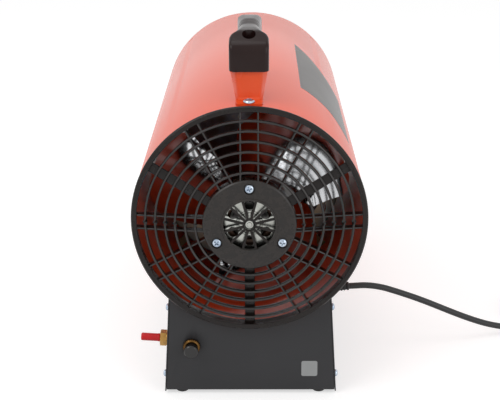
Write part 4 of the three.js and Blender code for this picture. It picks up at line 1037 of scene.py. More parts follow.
@dataclass
class Stage:
    """The camera, the floor and the light."""

    place: Triple = (0.0090, -1.2194, 0.5577)
    pitch: float = 19.53  # degrees down
    yaw: float = -0.49
    roll: float = -0.28
    lens: float = 82.3
    sensor: float = 36.0
    nearest: float = 0.05  # what is nearer isn't seen
    aim: Triple = (0.0, 0.0, 0.17)  # the heater's middle, which the lamps face
    lamps: tuple[Lamp, ...] = (
        Lamp("Key", (-1.5, -1.3, 1.9), 1.3, 14.0),
        Lamp("Fill", (1.5, -1.6, 0.8), 1.4, 9.0),
        Lamp("Top", (-0.2, -0.2, 1.9), 1.0, 4.5),
    )
    floor_half: float = 14.0
    floor_rough: float = 0.9
    floor_paint: float = 0.62
    floor_own: float = 0.57  # what the floor adds for the camera and in reflections
    sky: float = 0.62  # of the world on the surfaces

    def camera(self) -> None:
        """The camera at the photograph's angle."""
        data = bpy.data.cameras.new("Camera")
        data.lens, data.sensor_width, data.clip_start = self.lens, self.sensor, self.nearest
        pitch, yaw, roll = (math.radians(v) for v in (self.pitch, self.yaw, self.roll))
        level = math.cos(pitch)
        ahead = Vector((math.sin(yaw) * level, math.cos(yaw) * level, -math.sin(pitch)))
        right = Vector((math.cos(yaw), -math.sin(yaw), 0))
        up = right.cross(ahead)
        right, up = (
            right * math.cos(roll) + up * math.sin(roll),
            up * math.cos(roll) - right * math.sin(roll),
        )
        made = bpy.data.objects.new("Camera", data)
        matrix = Matrix((right, up, -ahead)).transposed().to_4x4()
        matrix.translation = self.place
        made.matrix_world = matrix
        bpy.context.scene.collection.objects.link(made)
        bpy.context.scene.camera = made

    def floor(self) -> None:
        """A plain white floor that keeps the heater's shadow."""
        made = bmesh.new()
        bmesh.ops.create_grid(made, x_segments=4, y_segments=4, size=self.floor_half)
        mesh = bpy.data.meshes.new("Floor")
        made.to_mesh(mesh)
        made.free()
        piece = shown("Floor", mesh)
        material = bpy.data.materials.new("Floor paint")
        material.use_nodes = True
        tree = material.node_tree
        shader = tree.nodes["Principled BSDF"]
        feed(tree, shader, {
            "Base Color": (self.floor_paint,) * 3 + (1,), "Roughness": self.floor_rough,
            "Specular IOR Level": 0.0,
        })
        rays = shader_node(tree, "LightPath").outputs
        either = shader_node(
            tree, "Math", {0: rays["Is Camera Ray"], 1: rays["Is Glossy Ray"]}, operation="MAXIMUM",
        )
        level = shader_node(tree, "Math", {0: either.outputs[0], 1: self.floor_own}, operation="MULTIPLY")
        glow = shader_node(tree, "Emission", {"Strength": level.outputs[0]})
        both = shader_node(tree, "AddShader", {0: shader.outputs[0], 1: glow.outputs[0]})
        feed(tree, tree.nodes["Material Output"], {"Surface": both.outputs[0]})
        mesh.materials.append(material)

    def world(self) -> None:
        """White behind the heater and in its reflections, and soft light on its surfaces."""
        world = bpy.data.worlds.new("Studio")
        world.use_nodes = True
        tree = world.node_tree
        rays = shader_node(tree, "LightPath").outputs
        seen = rays["Is Camera Ray"]
        for label in ("Is Glossy Ray", "Is Transmission Ray"):
            seen = shader_node(tree, "Math", {0: seen, 1: rays[label]}, operation="MAXIMUM").outputs[0]
        fit = shader_node(tree, "MapRange", {"Value": seen, "To Min": self.sky, "To Max": 1.0})
        feed(tree, tree.nodes["Background"], {"Color": (1, 1, 1, 1), "Strength": fit.outputs[0]})
        bpy.context.scene.world = world

    def build(self) -> None:
        """Sets the whole stage."""
        self.camera()
        self.floor()
        self.world()
        for lamp in self.lamps:
            lamp.build(self.aim)
        bpy.context.scene.view_settings.view_transform = "Standard"


# Power lead
@dataclass
class PowerLead:
    """The mains lead: one smooth cord from the strain relief into a tied coil, and its plug."""

    radius: float = 3.3
    relief_y: float = 125.0
    relief_height: float = 60.0
    relief_reach: float = 25.1  # of the cord's start out from the side plate's line
    coil_x: float = 340.0
    coil_y: float = 195.0
    coil_outer: float = 44.8
    coil_pitch: float = 7.4
    coil_layer: float = 7.3
    coil_turns: float = 2.375
    coil_steps: int = 24  # points in each turn
    tail_run: float = 90.6
    step: float = 2.5  # between the points of the finished cord
    sides: int = 20
    tie: float = 0.7
    tie_half: float = 3.5
    tie_turn: float = 200.0  # degrees round the coil
    neck: float = 6.0
    plug_radius: float = 18.5
    plug_length: float = 40.0
    plug_ridges: int = 5
    ridge_pitch: float = 1.9
    pin_x: float = 9.5
    relief_ribs: int = 6
    rib_pitch: float = 3.1

    @property
    def lie(self) -> float:
        """Height of the coil's lower layer."""
        return -AXIS_HEIGHT + self.radius + self.tie + GAP

    def stretch(self) -> list[Vector]:
        """The cord from its exit down to the coil.

        Returns:
            Points about the drum's axis.
        """
        start = side_place(1, self.relief_y, self.relief_height) @ Vector((self.relief_reach, 0, 0))
        fall = [
            (112, 125, -119.4), (120, 125.2, -119.1), (130, 125.6, -120), (141, 126.2, -122.4),
            (153, 126.8, -126.4), (165, 127.4, -130.8), (177, 128.2, -135.6), (189, 129.2, -140.8),
            (201, 130.4, -146.4), (213, 132, -152.2), (225, 134, -158), (237, 136.4, -163.6),
            (249, 139, -168.8), (262, 142, -173.6), (276, 145, -177.4), (291, 148, -180),
            (306, 149.7, self.lie), (316, self.coil_y - self.coil_outer, self.lie),
        ]
        return [start, *(Vector(point) for point in fall)]

    def winding(self) -> list[Vector]:
        """The coil: a layer that winds in, a climb, and a layer that winds out.

        Returns:
            Points about the drum's axis.
        """
        line: list[Vector] = []
        inner = self.coil_outer - self.coil_pitch * self.coil_turns
        turn_steps = self.coil_steps
        layer_steps, climb_steps = round(self.coil_turns * turn_steps), turn_steps // 2

        def put(turns: float, radius: float, height: float) -> None:
            """Adds a point.

            Args:
                turns: how many turns it is from the coil's start.
                radius: its distance from the coil's middle.
                height: its height.
            """
            turn = -math.pi / 2 + 2 * math.pi * turns
            x, y = self.coil_x + radius * math.cos(turn), self.coil_y + radius * math.sin(turn)
            line.append(Vector((x, y, height)))

        for i in range(layer_steps + 1):
            put(i / turn_steps, self.coil_outer - self.coil_pitch * i / turn_steps, self.lie)
        for i in range(1, climb_steps):
            share = i / climb_steps
            dip = self.coil_pitch * share * (1 - share)
            rise = self.coil_layer * share * share * (3 - 2 * share)
            put(self.coil_turns + i / turn_steps, inner - dip / 2, self.lie + rise)
        for i in range(layer_steps + 1):
            wider = inner + self.coil_pitch * i / turn_steps
            put(self.coil_turns + 0.5 + i / turn_steps, wider, self.lie + self.coil_layer)
        return line

    @property
    def tilt(self) -> float:
        """The lean of the plug, which rests on its neck and its rim."""
        return math.atan2(self.plug_radius - self.neck, self.plug_length)

    def plug_place(self) -> Matrix:
        """The place of the plug's neck, whose Y runs along the plug.

        Returns:
            The place.
        """
        last = self.winding()[-1]
        low = -AXIS_HEIGHT + self.neck * math.cos(self.tilt)
        return Matrix.Translation((last.x, last.y + self.tail_run, low)) @ Matrix.Rotation(self.tilt, 4, "X")

    def tail(self) -> list[Vector]:
        """The cord from the coil down to the floor and into the plug.

        Returns:
            Points about the drum's axis.
        """
        last = self.winding()[-1]
        low = -AXIS_HEIGHT + self.radius
        # shares of the tail's run, and of its height above the floor there
        falls = ((0.1, 1), (0.2, 0.95), (0.32, 0.78), (0.45, 0.48), (0.58, 0.18), (0.7, 0.02), (0.79, 0))
        line = [
            Vector((last.x, last.y + run * self.tail_run, low + up * (last.z - low)))
            for run, up in falls
        ]
        return [*line, *(self.plug_place() @ Vector((0, -back, 0)) for back in (2 * self.radius, GAP))]

    def cord(self) -> tuple[Object, list[Vector]]:
        """The cord's piece and the line that it follows, in metres.

        Returns:
            The piece and the line.
        """
        whole = spline([*self.stretch(), *self.winding(), *self.tail()], self.step)
        mesh = tube("power_lead", whole, self.radius, self.sides, LEAD)
        piece = dressed("power_lead", mesh, LEAD, stands_for=("power_cord", "cord_coil"))
        return piece, [to_row(point) for point in whole]

    def plug(self) -> list[Object]:
        """A moulded round plug with finger ridges and two pins.

        Returns:
            The plug's body and its pins.
        """
        outline = [
            (0, 0), (4.4, 0), (5.9, 1.2), (5.9, 12), (7.0, 14.4), (9.0, 18.6), (11.8, 25), (13.2, 29.6),
            (15.4, 31.2), (17.1, 36.4), (18.3, 39.3), (18.3, self.plug_length), (15.2, self.plug_length),
            (14.9, 38.9), (0, 38.9),
        ]
        radii = [0, 0, 0.4, 1, 3, 3, 3, 1, 0.8, 0.6, 0.3, 0.2, 0.2, 0.2, 0]
        body = turned(rounded(outline, radii, 3), 80)
        ridges = []
        for i in range(self.plug_ridges):
            along = 2.2 + self.ridge_pitch * i
            ridges.append(turned(rounded(oblong(5.2, along, 6.0, along + 1), 0.25, 2), 48))
        whole = together(body, *ridges).placed(self.plug_place())
        pin = turned(rounded(oblong(0, 37, 2.4, 59), [0, 0, 1.6, 0], 6), 32)
        sides = [self.plug_place() @ Matrix.Translation((side * self.pin_x, 0, 0)) for side in (-1, 1)]
        return [
            dressed("plug_body", whole, RUBBER, stands_for=("plug",)),
            repeated("plug_pins", pin, sides, ZINC),
        ]

    def tie_strap(self) -> Object:
        """The soft strap round the coil's turns.

        Returns:
            The strap's piece.
        """
        tie, half = self.tie, self.tie_half
        inner = self.coil_outer - self.coil_pitch * self.coil_turns - self.coil_pitch / 2
        inner = inner - self.radius - GAP
        outer = self.coil_outer + self.radius + GAP
        low, high = -AXIS_HEIGHT, self.lie + self.coil_layer + self.radius + GAP + tie
        outside = rounded(oblong(inner - tie, low, outer + tie, high), 2.6, 6)
        inside = rounded(oblong(inner, low + tie, outer, high - tie), 2.0, 6)
        rings = [
            [(x, y, z) for x, z in skin]
            for skin, y in ((outside, -half), (outside, half), (inside, half), (inside, -half))
        ]
        turn = Matrix.Rotation(math.radians(self.tie_turn), 4, "Z")
        shape = lofted(rings, closed=True).placed(Matrix.Translation((self.coil_x, self.coil_y, 0)) @ turn)
        return dressed("cord_tie", shape, PLASTIC, stands_for=("coil_tie",), edge=0.15)

    def relief(self) -> None:
        """The ribbed strain relief on the side plate."""
        root = ON_SIDE + 2.5
        profile = [(0, -6), (6.2, -6), (6.2, ON_SIDE), (8.5, ON_SIDE), (8.5, root), (6.1, root)]
        for i in range(self.relief_ribs):
            along = root + 1.6 + self.rib_pitch * i
            wide = 6.0 - 0.26 * i
            profile += [(wide - 0.9, along), (wide - 0.9, along + 1.1), (wide - 0.1, along + 1.4)]
        end = root + 20.5
        profile += [(4.4, end), (3.5, end), (3.5, end - 1), (0, end - 1)]
        place = on_plate(1, self.relief_y, self.relief_height)
        shape = turned(rounded(profile, 0.3, 2), 64).placed(place)
        dressed("cord_relief", shape, RUBBER, stands_for=("strain_relief",))

    def build(self) -> None:
        cord, line = self.cord()
        plug = self.plug()
        tie = self.tie_strap()
        self.relief()


# Fasteners
@dataclass(frozen=True)
class Fastener:
    """A pan-head screw with a cross recess; its head points to -Y and its seat is at the origin."""

    head: float
    height: float
    shank: float
    length: float

    def mesh(self, name: str) -> Mesh:
        """The screw's mesh about its own origin, in metres.

        Args:
            name: the mesh's name.

        Returns:
            The mesh.
        """
        head, height, shank = self.head, self.height, self.shank
        profile = [
            (0, -height), (head * 0.5, -height), (head * 0.86, -height * 0.74), (head, -height * 0.34),
            (head, 0), (shank, 0), (shank, self.length), (0, self.length),
        ]
        body = turned(rounded(profile, [0, 1.2, 0.8, 0.4, 0.1, 0, 0.3, 0], 4), 40)
        long, thin = head * 0.62, head * 0.14
        cross = [
            (thin, long), (-thin, long), (-thin, thin), (-long, thin), (-long, -thin), (-thin, -thin),
            (-thin, -long), (thin, -long), (thin, -thin), (long, -thin), (long, thin), (thin, thin),
        ]
        rings = [
            [(x * size, level, z * size) for x, z in cross]
            for size, level in ((1.1, -height - 0.4), (0.5, -height * 0.12))
        ]
        return carved(body, lofted(rings), name, in_place=False)


UPRIGHT = Matrix.Rotation(-math.pi / 2, 4, "X")  # turns a screw's head up
SCREW_CIRCLE = 35.0  # radius on which the motor's screws stand
MOTOR_SCREWS = [
    (SCREW_CIRCLE * math.cos(math.radians(turn)), SCREW_CIRCLE * math.sin(math.radians(turn)))
    for turn in (90, 210, 330)
]


def spin(turn: float) -> Matrix:
    """A turn in degrees about the drum's axis, from X towards Z."""
    return Matrix.Rotation(-math.radians(turn), 4, "Y")


def upright_bar(radius: float, low: float, high: float, x: float, y: float, segments: int = 40) -> Shape:
    """A round bar along Z."""
    return plate(Plane.XY, around(radius, segments), low, high).moved(x, y, 0)


def round_bar(radius: float, low: float, high: float, x: float, z: float, segments: int = 40) -> Shape:
    """A round bar along Y."""
    return turned(oblong(0, low, radius, high), segments).moved(x, 0, z)


def slot(width: float, low: float, high: float, inner: float, outer: float, turn: float) -> Shape:
    """A slot with round ends along Y, through a wall at a turn about the axis.

    Args:
        width: its width.
        low: where it starts.
        high: where it ends.
        inner: the radius inside the wall.
        outer: the radius outside it.
        turn: radians from the drum's top.

    Returns:
        The slot, as a cutter.
    """
    half = width / 2
    ends = []
    for centre, first in ((high - half, 0.0), (low + half, math.pi)):
        ends += [
            (half * math.cos(first + math.pi * i / 8), centre + half * math.sin(first + math.pi * i / 8))
            for i in range(9)
        ]
    return plate(Plane.XY, ends, inner, outer).placed(Matrix.Rotation(turn, 4, "Y"))


# Fan guard
@dataclass
class FanGuard:
    """The moulded guard at the intake: rim, rings, ribs, arms and the disc that holds the motor."""

    bore: float = 104.5
    rim: float = 110.0
    collar: float = 107.9
    disc: float = 43.4
    proud: float = 9.7  # how far the disc's face stands out
    ring_count: int = 6
    ring_first: float = 50.0  # radius of the innermost ring
    ring_pitch: float = 9.3
    ring_width: float = 2.4
    ring_depth: float = 4.6
    ring_round: float = 1.1
    pair_gap: float = 13.0  # between the two ribs of a pair
    wide_gap: float = 16.2  # the same half way between two arms
    spokes: int = 12

    @property
    def slope(self) -> float:
        """How fast the rings rise towards the disc."""
        return self.proud / (self.bore - self.disc)

    def hoop(self) -> None:
        """The rim's flange and the collar inside the drum."""
        profile = [
            (self.bore, 0.2), (105.6, 0), (108.6, 0), (self.rim, 1.4), (self.rim, 2.6),
            (self.collar, 2.6), (self.collar, 14), (105.9, 14), (105.2, 3.2),
        ]
        shape = turned(rounded(profile, [0.5, 1, 1.2, 1, 0.3, 0, 0.4, 0.4, 1], 4), 160)
        dressed("guard_rim", shape, PLASTIC, stands_for=("fan_guard",))

    def middle(self) -> None:
        """The disc with its screw recesses, opening and skirt, and the bosses behind it."""
        face = -self.proud
        profile = [
            (24, face - 0.9), (26, face - 0.9), (26.3, face), (41.6, face), (self.disc, face + 1.4),
            (self.disc, face + 12), (41.6, face + 12), (41.6, face + 2.6), (24, face + 2.6),
        ]
        disc = turned(rounded(profile, [0.4, 0.4, 0.2, 1.2, 1.2, 0.4, 0.4, 1, 0.4], 4), 120)
        holes = [round_bar(5, face - 2, face + 2.4, x, z) for x, z in MOTOR_SCREWS]
        bosses = [round_bar(7.2, face + 2.5, face + 7, x, z) for x, z in MOTOR_SCREWS]
        lip = [(5.0, face - 0.25), (5.9, face - 0.25), (6.1, face + 0.4), (5.0, face + 0.4)]
        lips = [turned(rounded(lip, 0.15, 2), 48).moved(x, 0, z) for x, z in MOTOR_SCREWS]
        dressed("guard_disc", carved(disc, together(*holes), "guard_disc"), DISC)
        dressed("guard_bosses", together(*bosses, *lips), DISC)

    def opening(self) -> None:
        """The hub ring and the spokes across the disc's opening."""
        face = -self.proud
        hub = turned(rounded(oblong(5.2, face, 6.4, face + 3.5), 0.4, 3), 48)
        section = [(-1.2, face + 0.3), (1.2, face + 0.3), (0.9, face + 3), (-0.9, face + 3)]
        spoke = plate(Plane.YZ, [(y, z) for z, y in rounded(section, 0.45, 3)], 5.95, 25.7)
        turns = [spin(360 / self.spokes * (i + 0.5)) for i in range(self.spokes)]
        dressed("guard_hub", hub, PLASTIC)
        repeated("guard_spokes", spoke, turns, PLASTIC)

    def rings(self) -> None:
        """The rings of the grille."""
        base = bpy.data.meshes.new("guard_rings")
        mesh = rings_tree().run(
            base, "guard_rings", RING, Count=self.ring_count, First=self.ring_first * MM,
            Pitch=self.ring_pitch * MM, Width=self.ring_width * MM, Depth=self.ring_depth * MM,
            Round=self.ring_round * MM, Slope=self.slope, Bore=self.bore * MM,
        )
        mesh.transform(Matrix.Translation(to_row((0, 0, 0))))
        dressed("guard_rings", mesh, RING, sharp=60)

    def rib(self, thick: float, back: float, depth: float) -> Shape:
        """A bar from the disc's skirt to the collar, set back from the rings' faces.

        Args:
            thick: its thickness.
            back: how far it is set back.
            depth: its depth along the drum.

        Returns:
            The bar, along X.
        """
        inner, outer = self.disc - 0.9, self.collar - 1
        rise = (self.bore - inner) * self.slope
        half, edge = thick / 2, min(thick * 0.42, 0.8)
        rings = []
        for x, low, high in ((inner, back - rise, back + depth - rise), (outer, back, back + depth)):
            rings.append([(x, y, z) for z, y in rounded(oblong(-half, low, half, high), edge, 3)])
        return lofted(rings)

    def bars(self) -> None:
        """The pairs of ribs and the three flat arms."""
        pairs, arms = [], []
        for turn in range(0, 360, 30):
            if turn % 120 == 30:
                arms.append(spin(turn))
                continue
            gap = self.wide_gap if turn % 120 == 90 else self.pair_gap
            pairs += [spin(turn) @ Matrix.Translation((0, 0, way * gap / 2)) for way in (-1, 1)]
        repeated("guard_ribs", self.rib(1.8, 1.3, 8.4), pairs, RING)
        repeated("guard_arms", self.rib(9.5, 4.3, 2.4), arms, PLASTIC)

    def build(self) -> None:
        """Makes the whole guard and the three motor screws."""
        self.hoop()
        self.middle()
        self.opening()
        self.rings()
        self.bars()
        screw = Fastener(4.4, 2.3, 1.9, 12)
        places = [
            Matrix.Translation((x, -self.proud + 2.1, z)) @ spin(17 + 31 * i)
            for i, (x, z) in enumerate(MOTOR_SCREWS)
        ]
        names = [f"motor_screw_{where}" for where in ("top", "left", "right")]
        repeated("motor_screws", screw.mesh("motor_screw"), places, ZINC, stands_for=names)


# Motor and fan
@dataclass
class Motor:
    """The motor's shell and bearing cup, seen through the guard's middle."""

    shield: float = 40.5
    start: float = -2.4
    can: float = 31.5
    can_start: float = -0.1
    can_end: float = 41.9
    vents: int = 6
    vent_circle: float = 17.5

    def end_shield(self) -> None:
        """The pressed end shield with its vents, bead and bearing cup."""
        y = self.start
        profile = [
            (0, y - 5.6), (2.2, y - 5.6), (2.5, y - 5.1), (3.6, y - 5.1), (4.9, y - 4.4), (4.9, y - 0.6),
            (9.6, y), (10.4, y - 0.7), (11.8, y - 0.7), (12.4, y), (self.shield, y), (self.shield, y + 2),
            (4, y + 2), (4, y - 4.7), (0, y - 4.7),
        ]
        radii = [0, 0.2, 0.2, 0.2, 0.5, 2, 0.3, 0.3, 0.3, 0.3, 0.3, 0.3, 0.2, 0.2, 0]
        body = turned(rounded(profile, radii, 3), 96)
        holes = [round_bar(5, y - 2, y + 4, x, z) for x, z in around(self.vent_circle, self.vents, 0.5)]
        holes += [round_bar(2.2, y - 2, y + 4, x, z, 24) for x, z in MOTOR_SCREWS]
        mesh = carved(body, together(*holes), "motor_end_shield")
        dressed("end_shield", mesh, SHIELD, stands_for=("motor_end_shield",))

    def shell(self) -> None:
        """The drawn can with its nose."""
        start, end = self.can_start, self.can_end
        profile = [
            (self.can, start), (self.can, end), (9.2, end), (9.2, end + 7), (2.8, end + 7),
            (2.8, end + 5.8), (8, end + 5.8), (8, end - 1.2), (self.can - 1.2, end - 1.2),
            (self.can - 1.2, start),
        ]
        shape = turned(rounded(profile, [0.3, 3, 1.5, 1, 0.2, 0.2, 0.8, 0.8, 1.8, 0.3], 4), 72)
        dressed("motor_shell", shape, STEEL, stands_for=("motor_can",))

    def inside(self) -> None:
        """The windings seen through the vents, and the shaft."""
        coils = [turned(rounded(oblong(18, y, 27, y + 6), 2.4, 4), 60) for y in (3.7, 30.3)]
        shaft = turned(rounded(oblong(0, -6.8, 2.5, 84), [0, 0.6, 0.6, 0], 2), 32)
        for node, finish in (
            ("motor_stator", STEEL), ("motor_rotor", ALUMINIUM), ("bearing_rear", BRASS),
            ("bearing_front", BRASS),
        ):
            paint(node, finish)
        dressed("motor_coils", together(*coils), COIL, stands_for=("motor_windings",))
        dressed("shaft", shaft, ZINC, Body.FAN, ("motor_shaft",))

    def build(self) -> None:
        """Makes the motor."""
        self.end_shield()
        self.shell()
        self.inside()


@dataclass
class Fan:
    """The fan's hub and its three wide bent blades."""

    start: float = 55.0
    end: float = 81.0
    hub: float = 24.0
    radius: float = 99.0
    chord: float = 124.0
    thick: float = 1.6
    camber: float = -5.0
    pitch: Pair = (40.0, 22.0)  # degrees, at the root and the tip
    sweep: float = -24.0  # degrees, from root to tip
    rest_turn: float = -52.0
    blades: int = 3
    root_chord: float = 0.45  # share of the chord at the root
    full_at: float = 0.5  # share of the span where the chord is full
    corner_at: float = 0.86  # share of the span where the outer corners begin
    corner_depth: float = 0.45
    blade_rings: int = 25
    blade_points: int = 17  # across each ring
    edge_power: int = 12  # a higher one makes the blade's edges squarer

    def blade(self) -> Shape:
        """One blade, bent round the axis, twisted and hollowed, with rounded outer corners.

        Returns:
            The blade.
        """
        root = self.hub - 1
        span = self.radius - root
        middle = (self.start + self.end) / 2
        across = [k / (self.blade_points - 1) - 0.5 for k in range(self.blade_points)]
        faces = [(1, a) for a in across] + [(-1, a) for a in reversed(across)]
        rings = []
        for i in range(self.blade_rings):
            share = i / (self.blade_rings - 1)
            radius = root + share * span
            grown = self.root_chord + (1 - self.root_chord) * min(1, share / self.full_at)
            corner = max(0.0, (share - self.corner_at) / (1 - self.corner_at))
            tip = math.sqrt(1 - corner**2 * self.corner_depth)
            pitch = math.radians(self.pitch[0] + share * (self.pitch[1] - self.pitch[0]))
            lag = math.radians(self.sweep * (share - 0.5))
            ring = []
            for side, a in faces:
                thick = side * self.thick / 2 * (1 - (2 * abs(a)) ** self.edge_power)
                hollow = self.camber * (1 - 4 * a * a) + thick
                chord = a * self.chord * grown * tip
                sideways = chord * math.cos(pitch) - hollow * math.sin(pitch)
                along = chord * math.sin(pitch) + hollow * math.cos(pitch)
                turn = sideways / radius + lag
                ring.append((radius * math.cos(turn), middle + along, radius * math.sin(turn)))
            rings.append(ring)
        return lofted(rings)

    def build(self) -> None:
        """Makes the blades and the hub."""
        turns = [spin(-(360 / self.blades * i + self.rest_turn)) for i in range(self.blades)]
        repeated("fan_blades", self.blade(), turns, BLADE, Body.FAN, ("fan",), sharp=50)
        start, end = self.start, self.end
        profile = [
            (2.8, start), (7, start), (7, end - 3), (20, end - 3), (22.4, end - 5), (22.4, start),
            (self.hub, start), (self.hub, end - 2), (22, end), (2.8, end),
        ]
        hub = turned(rounded(profile, [0.3, 0.5, 1, 1, 1, 0.4, 0.4, 1, 1, 0.3], 3), 72)
        dressed("fan_hub", hub, ALUMINIUM, Body.FAN)


# Drum
@dataclass
class DrumShell:
    """The painted drum, and the blank grey field printed on its right shoulder."""

    wall: float = 1.2
    tab: float = 7.0
    tab_y: float = 456.0
    left_edge: float = 28.0  # degrees from the top, of the field
    right_edge: float = 61.5
    far_line: tuple[Pair, ...] = ((28.0, 331.0), (45.3, 282.8), (56.3, 255.0), (62.0, 241.0))
    near_line: tuple[Pair, ...] = ((28.0, 122.7), (46.1, 108.8), (59.9, 82.3), (62.0, 78.5))
    field_steps: int = 40
    ports: tuple[Pair, ...] = ((3.9, 0.0), (3.1, 14.0), (2.5, -14.0))  # each port's radius and X

    def shell(self) -> None:
        """The rolled sheet with the slots for the inner tube's tabs."""
        inner = DRUM_RADIUS - self.wall
        profile = [(DRUM_RADIUS, DRUM_START), (DRUM_RADIUS, DRUM_END), (inner, DRUM_END), (inner, DRUM_START)]
        body = turned(rounded(profile, [0.3, 0.5, 0.5, 0.3], 3), 192)
        half = self.tab / 2 + 0.45
        low, high = (-half, self.tab_y - 0.6, inner - 2), (half, self.tab_y + 2.2, DRUM_RADIUS + 2)
        cutters = [block(low, high, 0.8, Plane.XY).placed(spin(-turn)) for turn in TAB_TURNS]
        cutters += [
            upright_bar(radius, -DRUM_RADIUS - 2, -inner + 2, x, PORTS_Y, 24) for radius, x in self.ports
        ]
        mesh = carved(body, together(*cutters), "drum")
        dressed("drum", mesh, ORANGE, stands_for=("drum_shell",), sharp=40)

    def patch(self, name: str, finish: Finish, proud: float, grow: float) -> None:
        """A thin printed skin on the drum's right shoulder.

        Args:
            name: the piece's name.
            finish: its finish.
            proud: how far it stands on the drum.
            grow: how far it reaches past the field's outline.
        """
        rings = []
        widen = math.degrees(grow / DRUM_RADIUS)
        span = self.right_edge - self.left_edge + 2 * widen
        for i in range(self.field_steps + 1):
            turn = self.left_edge - widen + span * i / self.field_steps
            low, high = along_line(self.near_line, turn) - grow, along_line(self.far_line, turn) + grow
            sin, cos = math.sin(math.radians(turn)), math.cos(math.radians(turn))
            ring = oblong(DRUM_RADIUS - 0.1, low, DRUM_RADIUS + proud, high)
            rings.append([(r * sin, y, r * cos) for r, y in ring])
        dressed(name, lofted(rings), finish, sharp=40)

    def build(self) -> None:
        """Makes the drum and its field."""
        self.shell()
        self.patch("field_border", BORDER, 0.04, 0.9)
        self.patch("field", FIELD, 0.09, 0.0)


def along_line(line: Sequence[Pair], at: float) -> float:
    """The value of a line of pairs at a place, carried on past its ends.

    Args:
        line: pairs of a place and its value.
        at: the place.

    Returns:
        The value.
    """
    for (a, low), (b, high) in zip(line, line[1:], strict=False):
        if at <= b or (b, high) == line[-1]:
            return low + (high - low) * (at - a) / (b - a)
    return line[-1][1]


def paint(node: str, finish: Finish) -> None:
    """Gives a frame node a finish and leaves its shape alone.

    Args:
        node: the node's name.
        finish: the finish.
    """
    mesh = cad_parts[node].data
    for index in range(max(1, len(mesh.materials))):
        if index < len(mesh.materials):
            mesh.materials[index] = finish.material()
        else:
            mesh.materials.append(finish.material())


